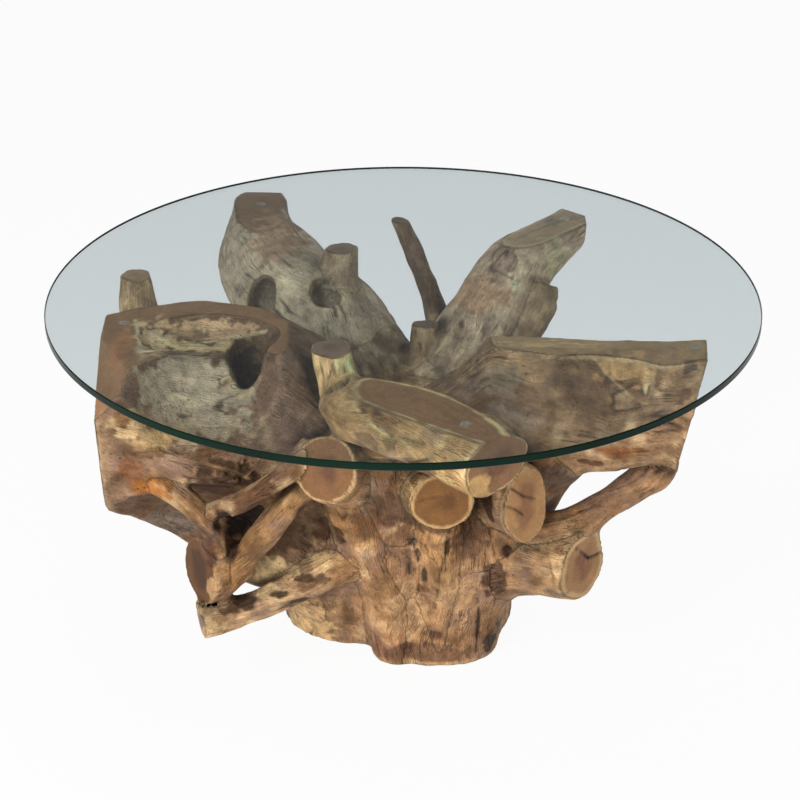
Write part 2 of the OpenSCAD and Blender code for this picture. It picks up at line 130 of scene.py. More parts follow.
LIMBS = dict(
    flare_left=arm("root_stump", "B08A62", 170, 30, [[-30, -55, 20, 0.65, 0.6],
        [-100, -72, 92, 0.8, 0.7], [-150, -90, 165, 0.95, 0.8], [-200, -105, 232, 0.7, 0.55]]),
    flare_front=arm("root_stump", "7E5C40", 170, 26, [[-10, -60, 90, 0.6], [-18, -115, 180, 0.8, 0.7],
        [-18, -165, 270, 0.9, 0.6], [-24, -222, 354, 0.7, 0.35]]),
    flare_right=arm("root_stump", "A67A50", 170, 28, [[40, -40, 90, 0.8], [96, -75, 165, 0.85],
        [142, -105, 238, 0.62, 0.7], [196, -135, 310, 0.5, 0.55]]),
    flare_back_left=arm("root_stump", "9A7E5C", 170, 28, [[-10, -10, 110], [-30, 30, 200, 1.15, 1.1],
        [-55, 75, 280, 1, 0.9], [-75, 110, 325, 0.7, 0.6]]),
    flare_back_right=arm("root_stump", "9A7E5C", 170, 28, [[20, -10, 110], [40, 25, 200, 1.1, 1.05],
        [60, 60, 280, 0.85, 0.8], [75, 85, 325, 0.55, 0.5]]),
    bulge=arm("root_stump", "AC835C", 170, 20, [[40, -92, -8, 1.05, 0.88], [42, -92, 60, 1.08, 0.9],
        [50, -98, 130, 1.16, 0.92], [54, -105, 200, 1.15, 0.9]], power=2.5, up=UP_Y),
    ridge_left=arm("root_stump", "A27850", 54, 14, [[-14, -142, -5, 0.8], [-20, -150, 80],
        [-45, -170, 180, 1.1, 1], [-75, -195, 280]], calm=1.2, up=UP_Y),
    ridge_middle=arm("root_stump", "A87E54", 54, 14, [[45, -150, -5, 0.9, 0.6], [45, -156, 80, 1, 0.7],
        [44, -178, 180], [45, -205, 270]], calm=1.2, up=UP_Y),
    ridge_right=arm("root_stump", "9A724E", 54, 14, [[98, -120, -5, 0.8, 0.9], [106, -130, 80],
        [124, -150, 170], [135, -175, 250]], calm=1.2, up=UP_Y),
    crown_stub=arm("root_stump", "8C6E50", 44, 10, [[20, 40, 290], [26, 55, 330, 0.9],
        [28, 62, 373, 0.8]], up=UP_Y),
    left_burl=arm("left_burl", "94745A", 300, 22, [[-90, -88, 248, 0.61, 1.01],
        [-160, -104, 281, 0.69, 1.14], [-220, -114, 306, 0.85, 1.04], [-280, -118, 326, 0.88, 0.91],
        [-345, -132, 348, 0.76], [-380, -140, 360, 0.66, 0.68]], calm=0.8, power=3.5, flute=0.04,
        face=(-1, 0, 0), saws=[([-371, -70, 438], 181, -3), ([-356, -190, 420], 205, 48)],
        hollows=[([-218, -375, 560], [172, 262, 262]), ([-238, -108, 446], [92, 64, 30]),
        ([-188, -122, 424], [27, 52, 98]), ([-230, -300, 200], [190, 128, 122])]),
    back_peg=arm("left_back_peg", "BC9A72", 40, 12, [[-312, -30, 330, 1.9, 1.8],
        [-330, 12, 370, 1.7, 1.5], [-343, 52, 410, 1.2, 1.1], [-347, 80, 448, 0.9, 0.8]], up=UP_Y),
    back_left=arm("back_left_limb", "D0B99C", 134, 25, [[-40, 40, 265, 0.9, 0.75],
        [-94, 115, 328, 1.2, 1.04], [-153, 188, 360, 1.19, 1.02], [-190, 258, 388, 1, 0.87],
        [-200, 308, 415, 0.66, 0.68], [-197, 344, 455, 0.46, 0.52]], calm=0.55, flute=0.08,
        hollows=[([-103, 104, 394], [19, 24, 26]), ([-182, 128, 372], [22, 30, 34])]),
    knob=arm("back_left_knob", "C6A986", 42, 16, [[-88, 138, 384, 1.4], [-85, 151, 410, 1.25],
        [-80, 164, 446, 0.95, 0.85]], calm=0.6, up=UP_Y),
    thin=arm("thin_back_root", "7C624A", 28, 6, [[66, 84, 262, 1.4], [56, 138, 300, 1.3, 1.25],
        [40, 184, 352, 1.1], [20, 220, 394], [-13, 272, 452, 0.75]], flute=0.03),
    back_right=arm("back_right_limb", "E8C8A6", 104, 20, [[40, 30, 270, 0.9], [88, 92, 332],
        [128, 146, 374, 0.95, 0.92], [160, 184, 403, 0.84], [202, 232, 420, 0.72, 0.62],
        [246, 282, 432, 0.6, 0.42]], calm=0.6, flute=0.07, saws=[([250, 260, 430], 0, -15)]),
    right_knob=arm("back_right_knob", "A28566", 48, 9, [[120, 60, 300, 1.1], [155, 95, 340],
        [180, 120, 370, 0.95, 0.9], [190, 132, 398, 0.6]], calm=0.8),
    slab=arm("right_slab", "A17E5C", 84, 26, [[14, -118, 336, 0.4, 0.58], [45, -122, 347, 0.42, 0.8],
        [84, -127, 366, 0.42, 1.05], [115, -131, 384, 0.48, 1.45], [170, -140, 370, 0.7, 1.9],
        [245, -156, 372, 0.88, 1.95], [310, -160, 380, 0.92, 1.8], [350, -152, 362, 0.86, 2.05],
        [380, -148, 360, 0.84, 2.05]], power=4, flute=0.04, face=(1, 0, 0),
        saws=[([370, -125, 438], -6, -12)], hollows=[([215, -232, 420], [110, 68, 80])]),
    strut=arm("right_loop_strut", "AA805A", 38, 12, [[318, -144, 296, 1.2, 1.3], [314, -146, 278, 1.3],
        [290, -153, 260, 1.05, 1.15], [245, -175, 240, 0.95, 1.05], [200, -186, 222, 0.95],
        [150, -166, 206, 0.95, 0.85], [100, -120, 205, 1.2]]),
    low_log=arm("right_low_log", "B08A62", 84, 26, [[60, -80, 110, 1.3, 1.4],
        [118, -125, 135, 1.05, 1.2], [171, -165, 155, 0.95, 1.1], [230, -206, 172, 1.04, 1.1]],
        saws=[([220, -204, 171], -42, 3)]),
    tall_log=arm("right_front_log", "9C7A58", 60, 14, [[95, -120, 240, 1.1, 1.5],
        [118, -170, 258, 1.05, 1.6], [136, -215, 274, 1, 1.65], [147, -248, 282, 0.95, 1.6, 8]]),
    middle_log=arm("middle_front_log", "B08E62", 76, 18, [[24, -130, 255, 1.2], [33, -190, 280, 1.08],
        [41, -240, 296, 1.02, 1], [46, -272, 301, 1.02, 0.98]], flute=0.03),
    left_log=arm("left_front_log", "AC855C", 76, 18, [[-40, -120, 250, 1.1], [-62, -175, 285],
        [-80, -225, 315], [-92, -258, 334]], flute=0.02),
    post=arm("centre_post", "E4B982", 84, 12, [[-48, -218, 372, 0.85, 0.75],
        [-66, -198, 388, 0.72, 0.68], [-80, -168, 410, 0.6], [-90, -140, 448, 0.6]], up=UP_Y),
    centre_slab=arm("centre_slab_root", "B08A5C", 84, 14, [[-66, -208, 388, 0.85, 0.75],
        [-56, -232, 401, 1, 0.84], [-38, -260, 408, 1.15, 0.9], [3, -288, 411, 1.26, 0.92],
        [44, -320, 411, 1.26, 0.92], [80, -352, 409, 1.2, 0.9], [104, -380, 407, 1.12, 0.85]]),
    diagonal=arm("left_diagonal_root", "967049", 32, 8, [[-240, -228, 135, 0.95], [-205, -236, 190],
        [-163, -242, 248, 1.05], [-122, -236, 298, 1.1], [-85, -215, 324, 1.1]]),
    hook=arm("left_hook", "986A42", 82, 4, [[-190, -212, 188, 0.45, 0.55], [-215, -224, 188, 0.6, 0.85],
        [-240, -238, 189, 0.72, 1.1], [-270, -254, 188, 0.7, 1.05]], flute=0.04,
        saws=[([-249, -243, 190], 222, 0)]),
    branch=arm("left_low_branch", "C09A72", 42, 18, [[-250, -244, 116, 1, 1.08],
        [-200, -226, 121, 0.88], [-150, -210, 133, 0.92, 0.88], [-98, -186, 152, 1.15, 1.1],
        [-40, -130, 165, 1.6]], calm=1.3),
    fork=arm("left_fork", "856241", 30, 6, [[-325, -205, 330, 1.2], [-290, -238, 308, 1.1],
        [-254, -252, 284], [-233, -252, 252, 0.9], [-226, -244, 214, 0.9]]),
    fork_arm=arm("left_fork", "705038", 30, 6, [[-240, -250, 272, 0.9, 0.8], [-198, -256, 290, 0.85],
        [-152, -252, 318, 0.95, 0.9], [-108, -224, 342, 1.2, 1]]),
)
# Trunk rows: height, x and y of its middle, half width, half depth, in mm.
TRUNK = np.array([
    [0, -7, -18, 150, 100], [30, -7, -20, 152.6, 104], [75, -3, -32, 159.1, 114], [120, 6, -44, 170.8, 132],
    [165, 8, -50, 176, 140], [210, 6, -52, 174.2, 138.6], [250, 6, -48, 158.4, 126],
    [285, 10, -34, 123.2, 98], [312, 14, -14, 79.2, 63]]) / 1000


def station(x, y, z, wide=1, high=None, turn=0):
    return x, y, z, wide, wide if high is None else high, turn


def smooth_path(rows, n):
    """Catmull-Rom curve through the rows, n rings to a span."""
    rows = np.array([station(*row) for row in rows], float)
    p = np.vstack([rows[:1], rows, rows[-1:]])
    t = (np.arange(n) / n)[:, None]
    spans = [0.5 * (2 * b + (c - a) * t + (2 * a - 5 * b + 4 * c - d) * t ** 2
                    + (3 * b - a - 3 * c + d) * t ** 3) for a, b, c, d in zip(p, p[1:], p[2:], p[3:])]
    return np.vstack(spans + [rows[-1:]])


def unit(v):
    return v / np.linalg.norm(v, axis=-1, keepdims=True)


RINGS = 6             # rings to a span
TRUNK_POWER = 2.7     # 2 is an oval, and more is squarer
# How far edges are rounded where surfaces meet.
CUT_ROUND, HOLLOW_ROUND, CROWN_ROUND, SEAT_ROUND, FLOOR_ROUND = 0.003, 0.010, 0.020, 0.002, 0.003
for limb in LIMBS.values():
    rings = smooth_path(limb["path"], RINGS)
    c = rings[:, :3] / 1000
    ahead = np.vstack([c[1:], c[-1:]]) - np.vstack([c[:1], c[:-1]])
    along = np.tile(limb["face"], (len(c), 1)) if "face" in limb else unit(ahead)
    across = unit(np.cross(along, limb.get("up", UP_Z)))
    over = np.cross(across, along)
    size = rings[:, 3:5] * limb["girth"] / 2000
    length = np.r_[0, np.cumsum(np.linalg.norm(np.diff(c, axis=0), axis=1))]
    limb["centre"], limb["mean"] = c, size.mean(0)
    limb["ahead"] = ahead / np.r_[1, np.full(len(c) - 2, 2), 1][:, None]
    table = np.hstack([c, across, over, size, np.radians(rings[:, 5:6]), length[:, None]])
    limb["table"] = table.astype(np.float32)
    limb["planes"] = [(c[0], -along[0]), (c[-1], along[-1])]
    for at, a, b in limb.get("saws", []):
        a, b = np.radians([a, b])
        normal = np.array([np.cos(b) * np.cos(a), np.cos(b) * np.sin(a), np.sin(b)])
        limb["planes"].append((np.array(at) / 1000, normal))


def limb_at(limb, p):
    """How far points lie outside a limb, in metres.

    The nearest place on the centre line gives the section there: with x and y across it and half
    sizes w and h, k = (|x/w|^power + |y/h|^power)^(1/power), and the distance is r (1 - 1/k).
    Saw cuts and ends are then taken off by a larger-of, and hollows likewise. With the distance come
    that of the grown skin, of the cuts and of the hollows, and the place in the grain.
    """
    c, table = limb["centre"], limb["table"]
    last = len(c) - 1
    if "face" in limb:
        order = limb["face"][0]
        place = np.interp(p[:, 0], c[::order, 0], np.arange(last + 1)[::order])
    else:
        near = np.argmin((c ** 2).sum(1) - 2 * p @ c.T, axis=1)
        go = limb["ahead"][near]
        place = near + np.clip(((p - c[near]) * go).sum(1) / (go ** 2).sum(1), -1, 1)
    place = np.clip(place, 0, last - 1e-4)
    i = place.astype(int)
    f = (place - i).astype(np.float32)[:, None]
    row = table[i] * (1 - f) + table[i + 1] * f
    v = p - row[:, 0:3]
    x0, y0 = (v * row[:, 3:6]).sum(1), (v * row[:, 6:9]).sum(1)
    cs, sn = np.cos(row[:, 11]), np.sin(row[:, 11])
    x, y = x0 * cs + y0 * sn, y0 * cs - x0 * sn
    power = limb.get("power", 2)
    ax, ay = np.abs(x) / row[:, 9], np.abs(y) / row[:, 10]
    k = (ax ** power + ay ** power) ** (1 / power)
    turn = np.arctan2(np.sign(y) * ay ** (power / 2), np.sign(x) * ax ** (power / 2))
    ring = np.radians(place * 2 / RINGS)
    flutes = 0.6 * np.sin(3 * turn + 23 * ring) + 0.4 * np.sin(5 * turn - 31 * ring)
    k = k / (1 + limb.get("flute", 0.06) * flutes)
    r = np.hypot(x, y)
    skin = r * (1 - 1 / np.maximum(k, 1e-3))
    cut = np.full(len(p), -1.0)
    for at, normal in limb["planes"]:
        cut = np.maximum(cut, (p - at) @ normal)
    d = soft_max(skin, cut, CUT_ROUND)
    carved = np.full(len(p), 1.0)
    for middle, half in limb.get("hollows", []):
        q = p - np.array(middle) / 1000
        kk = np.maximum(np.linalg.norm(q / (np.array(half) / 1000), axis=1), 1e-3)
        away = np.linalg.norm(q, axis=1) * (1 - 1 / kk)
        carved = np.minimum(carved, away)
        d = soft_max(d, -away, HOLLOW_ROUND)
    grain = np.stack([x / row[:, 9] * limb["mean"][0], y / row[:, 10] * limb["mean"][1], row[:, 12]], 1)
    return d, skin, cut, carved, grain


def trunk_at(p):
    """The same for the trunk: a squared oval at each height."""
    row = np.stack([np.interp(p[:, 2], TRUNK[:, 0], TRUNK[:, j]) for j in range(1, 5)], 1)
    x, y = p[:, 0] - row[:, 0], p[:, 1] - row[:, 1]
    k = (np.abs(x) / row[:, 2]) ** TRUNK_POWER + (np.abs(y) / row[:, 3]) ** TRUNK_POWER
    k = k ** (1 / TRUNK_POWER)
    skin = np.hypot(x, y) * (1 - 1 / np.maximum(k, 1e-3))
    cut = p[:, 2] - TRUNK[-1, 0]
    d = soft_max(skin, cut, CROWN_ROUND)
    return d, skin, np.full(len(p), -1.0), np.full(len(p), 1.0), np.stack([x, y, p[:, 2]], 1)


def spread_work(job, p, size=60000):
    """The same work on slices of a long list of points, on all cores, put together in order."""
    parts = [p[i:i + size] for i in range(0, len(p), size)]
    with ThreadPoolExecutor(4) as pool:
        return np.concatenate(list(pool.map(job, parts)))


NAMES = ["trunk"] + list(LIMBS)
BLEND = np.array([20] + [limb["blend"] for limb in LIMBS.values()]) / 1000


def at_name(name, p):
    return trunk_at(p) if name == "trunk" else limb_at(LIMBS[name], p)


def near_all(p):
    """The distance from each limb, one column a limb."""
    return np.stack([at_name(name, p)[0] for name in NAMES], 1).astype(np.float32)


def together(columns, z):
    """One skin round all limbs, rounded where they meet, cut at the seat plane and at the floor."""
    d = columns[:, 0]
    for j in range(1, columns.shape[1]):
        d = soft_min(d, columns[:, j], BLEND[j])
    return soft_max(soft_max(d, z - SEAT, SEAT_ROUND), -z, FLOOR_ROUND)


CELL, BLOCK = 0.0024, 4      # step of the fine grid in metres, and cells along a side of a coarse block
GRID_LOW, GRID_HIGH = np.array([-0.388, -0.424, -0.012]), np.array([0.388, 0.386, 0.450])
NEAR_SKIN = 5.4 * CELL       # coarse blocks whose middle is within this of the skin are worked finely
LIMB_REACH = 0.026           # limbs this much farther off than the skin, and their blend, leave it alone


def wood_skin():
    """The skin as a mesh of four-sided faces: a vertex in each cell of a fine grid that the skin
    passes through, at the mean of its crossings of the cell's edges, and a face round each edge."""
    blocks = np.ceil((GRID_HIGH - GRID_LOW) / (BLOCK * CELL)).astype(int)
    steps = [GRID_LOW[a] + (BLOCK * np.arange(blocks[a]) + (BLOCK - 1) / 2) * CELL for a in range(3)]
    mids = np.stack(np.meshgrid(*steps, indexing="ij"), -1).reshape(-1, 3)
    coarse = spread_work(near_all, mids)
    whole = together(coarse, mids[:, 2])
    live = np.nonzero(np.abs(whole) < NEAR_SKIN)[0]
    inner = np.array(list(np.ndindex(BLOCK, BLOCK, BLOCK)))
    points = (mids[live][:, None] + (inner - (BLOCK - 1) / 2) * CELL).reshape(-1, 3)
    columns = np.full((len(points), len(NAMES)), 0.5, np.float32)
    for j, name in enumerate(NAMES):
        use = coarse[live, j] < whole[live] + BLEND[j] + LIMB_REACH
        rows = np.nonzero(np.repeat(use, BLOCK ** 3))[0]
        if len(rows):
            columns[rows, j] = spread_work(lambda q, name=name: at_name(name, q)[0], points[rows])
    fine = spread_work(lambda rows: together(columns[rows], points[rows, 2]), np.arange(len(points)))
    grid = np.kron(whole.reshape(blocks), np.ones([BLOCK] * 3, np.float32)).astype(np.float32)
    cell_of = np.stack(np.unravel_index(live, blocks), 1)[:, None] * BLOCK + inner
    grid[tuple(np.moveaxis(cell_of, -1, 0))] = fine.reshape(len(live), -1)
    stride = np.array([grid.shape[1] * grid.shape[2], grid.shape[2], 1])
    inside = grid < 0
    cells, sums, quads = [], [], []
    for a in range(3):
        u, v = stride[(a + 1) % 3], stride[(a + 2) % 3]
        crossing = np.argwhere(np.diff(inside, axis=a))
        one = np.eye(3, dtype=int)[a]
        f0, f1 = grid[tuple(crossing.T)], grid[tuple((crossing + one).T)]
        quad = (crossing @ stride)[:, None] + np.array([-u - v, -v, 0, -u])
        cells.append(quad.T.ravel())
        sums.append(np.tile(crossing + one * (f0 / (f0 - f1))[:, None], (4, 1)))
        flip = ~inside[tuple(crossing.T)]
        quad[flip] = quad[flip][:, ::-1]
        quads.append(quad)
    cells, sums, quads = np.concatenate(cells), np.concatenate(sums), np.concatenate(quads)
    ids, back = np.unique(cells, return_inverse=True)
    co = np.stack([np.bincount(back, sums[:, a]) for a in range(3)], 1) / np.bincount(back)[:, None]
    return GRID_LOW + co * CELL, np.searchsorted(ids, quads), grid


def mesh_normals(co, faces):
    """The mean of the faces' crossed diagonals at each vertex, made one long."""
    n = np.cross(co[faces[:, 2]] - co[faces[:, 0]], co[faces[:, 3]] - co[faces[:, 1]])
    out = np.stack([np.bincount(faces.ravel(), np.repeat(n[:, a], 4), len(co)) for a in range(3)], 1)
    return unit(out + 1e-12)


co, faces, grid = wood_skin()
normals = mesh_normals(co, faces)

# What each place of the skin is
columns = spread_work(near_all, co)
first, second = np.argsort(columns, axis=1)[:, :2].T
away = columns[np.arange(len(co)), second] - columns[np.arange(len(co)), first]
lone = step(0.0, 0.016, away)                 # 0 on the line between two limbs, 1 well inside one
skin_d, cut_d, carved_d = np.zeros(len(co)), np.zeros(len(co)), np.zeros(len(co))
grain = np.zeros((len(co), 3))
for j, name in enumerate(NAMES):
    rows = np.nonzero(first == j)[0]
    if len(rows):
        got = at_name(name, co[rows])
        skin_d[rows], cut_d[rows], carved_d[rows] = got[1:4]
        grain[rows] = got[4] + 0.41 * j
grain[:, :2] += np.stack([noise(co / 0.075 + 5), noise(co / 0.075 + 15)], 1) * 0.014
depth = np.maximum(-skin_d, 0)                # how deep under the grown surface the saw or rot went
flat_top = step(-0.0028, -0.0010, co[:, 2] - SEAT) * step(0.6, 0.9, normals[:, 2])
flat_end = step(-0.0030, -0.0012, cut_d) * (NAMES.index("trunk") != first)
sawn = np.clip(np.maximum(flat_top, flat_end), 0, 1) * step(0.0005, 0.0025, depth)
rotten = (1 - step(0.0, 0.006, np.abs(carved_d))) * step(0.002, 0.008, depth) * (1 - sawn)


def grid_at(p):
    """The distance field between the grid's points, mixed along the three sides of each cell."""
    q = np.clip((p - GRID_LOW) / CELL, 0, np.array(grid.shape) - 1.001)
    cell = q.astype(int)
    f = (q - cell).astype(np.float32)
    return sum(grid[tuple((cell + corner).T)] * corner_share(f, corner) for corner in np.ndindex(2, 2, 2))


# Painted shade: the next two masks are used below to darken the wood in narrow creases and in wide nooks.
crease_shade = 1 - step(0.002, 0.0075, grid_at(co + normals * 0.008))     # 1 in a narrow crease
nook = 1 - step(0.005, 0.0125, grid_at(co + normals * 0.0125))      # 1 in a wide one
# Pale sharp edges, used below: partly wear, partly a painted highlight.
wear_and_highlight = step(0.0015, 0.006, 0.010 + grid_at(co - normals * 0.010))   # 1 on a sharp edge

# Marks on the wood
# Blotches: what it is, middle and half sizes in mm, colour, how much of it, how deep in mm if sunk.
BLOTCHES = [
    ("burl left wall", -358, -242, 349, 11, 13, 71, "A08060", 0.8),
    ("under burl rim", -322, -242, 385, 26, 20, 17, "CFAE7E", 0.85),
    ("burl tongue", -300, -244, 363, 28, 13, 11, "BD9A6C", 0.8),
    ("burl notch", -332, -239, 399, 9, 11, 14, "7E5636", 0.8, 1.5),
    ("facet by orange patch", -325, -247, 328, 18, 17, 18, "8A5C3C", 0.85),
    ("orange patch", -300, -250, 306, 27, 20, 15, "A8692E", 0.85),
    ("burl underside", -285, -180, 216, 56, 30, 22, "8A7868", 0.9),
    # Painted shade: the two dark blotches below stand for shade in the recess between burl and arm.
    ("fold over arm", -213, -237, 329, 41, 13, 11, "4B3423", 0.85, 3),
    ("fold hollow", -182, -219, 301, 24, 12, 10, "33231A", 0.85, 3),
    ("slope", -266, -172, 405, 74, 52, 42, "C6B194", 0.75),
    ("slope, near front", -250, -206, 376, 76, 38, 34, "BAA585", 0.65),
    ("trough, left", -305, -96, 428, 36, 36, 16, "F0CC9E", 0.9),
    ("trough, right", -240, -68, 423, 58, 24, 14, "E8BC90", 0.85),
    ("trough lip", -262, -100, 419, 64, 12, 9, "F2CE98", 0.9),
    ("hollow", -195, -84, 372, 20, 24, 38, "4A3C32", 0.95),
    ("hollow, lower", -197, -179, 391, 14, 17, 17, "5F5043", 0.9),
    ("sawn left face", -344, -154, 438, 14, 70, 19, "A87450", 0.8),
    # Painted shade: near black laid on the wall behind the arm, where a dark gap shows.
    ("painted shade behind arm", -188, -178, 229, 32, 24, 20, "1E1510", 0.95, 4),
    ("painted shade behind arm, lower", -209, -171, 205, 15, 18, 17, "1E1510", 0.95, 4),
    ("hook pith", -230, -260, 213, 8, 10, 11, "4A3226", 0.85, 2),
    ("hook lip", -231, -263, 174, 10, 12, 17, "BE9468", 0.8),
    ("hook foot crack", -243, -248, 145, 17, 8, 4, "2A1C14", 0.9, 2),
    ("branch bark", -192, -236, 138, 20, 25, 8, "33241A", 0.9, 0.5),
    ("branch knot", -123, -213, 159, 15, 8, 6, "3E2A1E", 0.85, 1.5),
    ("line under branch", -132, -222, 131, 38, 8, 4, "4E3424", 0.85, 1),
    ("branch top", -162, -222, 144, 30, 28, 8, "DCBC8C", 0.85),
    ("branch top, right", -96, -198, 172, 34, 25, 9, "DCB884", 0.9),
    ("round end", -226, -258, 116, 20, 12, 13, "C9A878", 0.9),
    ("round end heart", -224, -255, 126, 11, 9, 7, "8E6E48", 0.8),
    ("wall", -128, -186, 215, 44, 36, 34, "5E4A36", 0.8),
    ("wall, upper", -122, -241, 274, 19, 17, 14, "3E2D20", 0.8),
    # Pale sapwood, made paler still as painted light where the lamps reach little.
    ("flare", -168, -190, 148, 42, 26, 26, "F0CE98", 0.95),
    ("foot at left", -128, -92, 8, 52, 28, 24, "EBC68E", 0.9),
    ("orange shoulder", -72, -200, 155, 22, 27, 27, "B58452", 0.7),
    # Painted shade under the left log.
    ("painted shade under left log", -84, -186, 212, 40, 18, 18, "4A3222", 0.85, 3),
    ("groove by left log", -44, -216, 272, 10, 12, 41, "7E6A58", 0.6, 1),
    ("column", 2, -171, 95, 30, 27, 50, "CEA478", 0.75),
    ("column, right", 65, -184, 116, 30, 33, 40, "CAA074", 0.7),
    ("slit", 18, -195, 182, 4, 9, 15, "34302C", 0.95, 3),
    ("slit, left", 7, -190, 165, 4, 9, 14, "46403C", 0.9, 2),
    ("slit, lower", 26, -193, 150, 4, 8, 13, "3E3834", 0.9, 2),
    ("stained patch", 7, -191, 172, 16, 19, 22, "84644A", 0.6),
    ("upright groove", 54, -211, 196, 5, 8, 27, "3E2A1E", 0.85, 3),
    ("burr", 84, -187, 191, 22, 18, 15, "84644C", 0.7, 1),
    ("hole", 129, -182, 181, 6, 8, 9, "2E1C14", 0.95, 4),
    ("shade by hole", 118, -176, 140, 15, 18, 36, "54382A", 0.85, 2.5),
    ("shade, lower", 108, -171, 114, 8, 9, 20, "4A3224", 0.75, 2),
    ("upright crack", 96, -165, 59, 3, 8, 33, "3A281C", 0.8, 1.5),
    # Painted shadow low on the trunk's right, near the floor.
    ("painted shade at foot", 112, -151, 28, 14, 17, 21, "42352E", 0.95, 1),
    ("painted shade at foot, upper", 124, -140, 47, 12, 14, 13, "3C302A", 0.9, 1),
    ("foot, left", -36, -166, 25, 45, 19, 18, "8C6248", 0.8),
    ("foot", 40, -171, 20, 80, 16, 16, "7A5842", 0.8),
    ("knots at foot", 43, -173, 49, 9, 9, 8, "5A3C2A", 0.85, 1.5),
    ("cheek under low log", 133, -130, 68, 21, 25, 21, "C29A72", 0.7),
    ("nook over low log", 164, -194, 192, 27, 9, 7, "3A281C", 0.85, 2),
    # Dark brown wood with painted shadow on the tall log's left wall.
    ("tall log left wall", 104, -214, 263, 15, 18, 24, "3E2B20", 0.9),
    ("low log top", 169, -212, 172, 20, 15, 12, "B5906A", 0.6),
    ("under low log", 184, -225, 147, 20, 9, 7, "8A7468", 0.7),
    ("stem", 192, -174, 279, 25, 27, 22, "8C7668", 0.75),
    ("ragged edge", 256, -195, 327, 41, 12, 10, "8A5430", 0.85),
    ("ragged edge, lower", 227, -186, 308, 22, 8, 5, "4A2A1C", 0.8, 1.5),
    ("strut top", 294, -170, 260, 32, 13, 11, "B58A60", 0.6),
    ("knot", 339, -189, 436, 12, 13, 11, "715D4B", 0.85, 1.5),
    ("dot by knot", 338, -193, 395, 8, 10, 10, "6C4736", 0.7, 1),
    ("vertical line", 291, -184, 407, 3, 8, 31, "DACB9E", 0.8),
    ("diagonal plane", 267, -172, 421, 36, 26, 22, "D2A56F", 0.7),
    ("ridge line", 184, -140, 438, 55, 8, 8, "D2B080", 0.7),
    ("rough patch", 118, -155, 392, 27, 32, 27, "A08D78", 0.6),
    ("rough patch, lower", 132, -157, 344, 32, 21, 17, "9C8973", 0.6),
    ("sawn orange patch", -172, 196, 433, 42, 74, 20, "C09A7C", 0.9),
    ("recess", -190, 156, 376, 20, 24, 32, "A8957F", 0.9),
    ("oval hollow", -99, 123, 381, 20, 22, 24, "B09A82", 0.95, 2.5),
    ("oval hollow rim", -122, 100, 402, 4, 8, 24, "DAC08B", 0.8),
    ("heart facet", 136, 140, 427, 16, 41, 11, "AA8C79", 0.9),
    ("heart facet, upper", 199, 254, 438, 18, 21, 8, "A48F7F", 0.9),
    ("orange facet", 102, 100, 397, 42, 60, 18, "D2A682", 0.9),
    ("ridge", 204, 175, 415, 27, 32, 32, "DCCB9E", 0.8),
    ("slope, right", -214, -186, 392, 36, 30, 32, "BCA98D", 0.6),
    ("trough heart", -268, -78, 424, 30, 12, 9, "8C6E50", 0.7),
    # Pale sapwood, made paler still as painted light.
    ("flare, lower", -124, -120, 30, 38, 40, 44, "E8C08A", 0.9),
    # Painted shade: near black in the fork, where a dark gap shows.
    ("painted shade in fork", -214, -258, 272, 14, 12, 26, "22160F", 0.9, 3),
    ("painted shade in fork, right", -190, -256, 298, 20, 8, 7, "22160F", 0.8, 2),
    ("shade behind fork", -232, -225, 318, 50, 24, 15, "463222", 0.85, 1.5),
    ("burl fold", -290, -230, 366, 30, 22, 12, "C0A070", 0.8),
    ("burl pits", -300, -248, 352, 36, 8, 7, "6A4C30", 0.75, 1.5),
    ("branch bark, middle", -148, -229, 146, 16, 10, 7, "3A281A", 0.9, 1),
    ("branch bark, right", -104, -214, 156, 12, 12, 8, "4A3424", 0.8, 1),
    ("pit under slab root", -18, -340, 412, 12, 9, 8, "6A5236", 0.75, 2),
    ("shade under slab root", 24, -366, 398, 34, 16, 10, "7C5E3C", 0.8),
    ("slab root nose", 66, -382, 392, 30, 14, 9, "D9B87C", 0.8),
    ("column, left", -50, -170, 80, 26, 30, 30, "C2966A", 0.6),
    ("front column side", -92, -150, 110, 14, 26, 50, "7A5A40", 0.6),
    ("shade under middle log", 20, -222, 238, 62, 20, 18, "5C4230", 0.8),
    ("slit, upper", 12, -200, 200, 5, 9, 10, "4E4238", 0.8, 2),
    ("trunk band", 78, -190, 205, 38, 18, 20, "5E4230", 0.75, 1),
    ("shade between logs", -6, -224, 264, 36, 26, 26, "644A38", 0.7),
    ("slab root end face", 84, -398, 390, 30, 16, 22, "C9A068", 0.85),
    # Painted shade under the left side of the slab root.
    ("painted shade under slab root, left", -40, -322, 403, 20, 16, 9, "7C6040", 0.75, 1),
    ("shade over middle log", 22, -362, 392, 20, 18, 9, "7A5C3C", 0.75),
    ("middle log shade", 14, -254, 325, 26, 14, 12, "6E4E30", 0.75),
    ("bark round branch end", -250, -246, 120, 8, 16, 15, "5C4636", 0.85, 0.5),
    ("branch bark, left", -212, -246, 134, 15, 12, 8, "4E3624", 0.85, 0.8),
    ("hook shade", -238, -256, 236, 16, 12, 24, "5A3A26", 0.7),
]
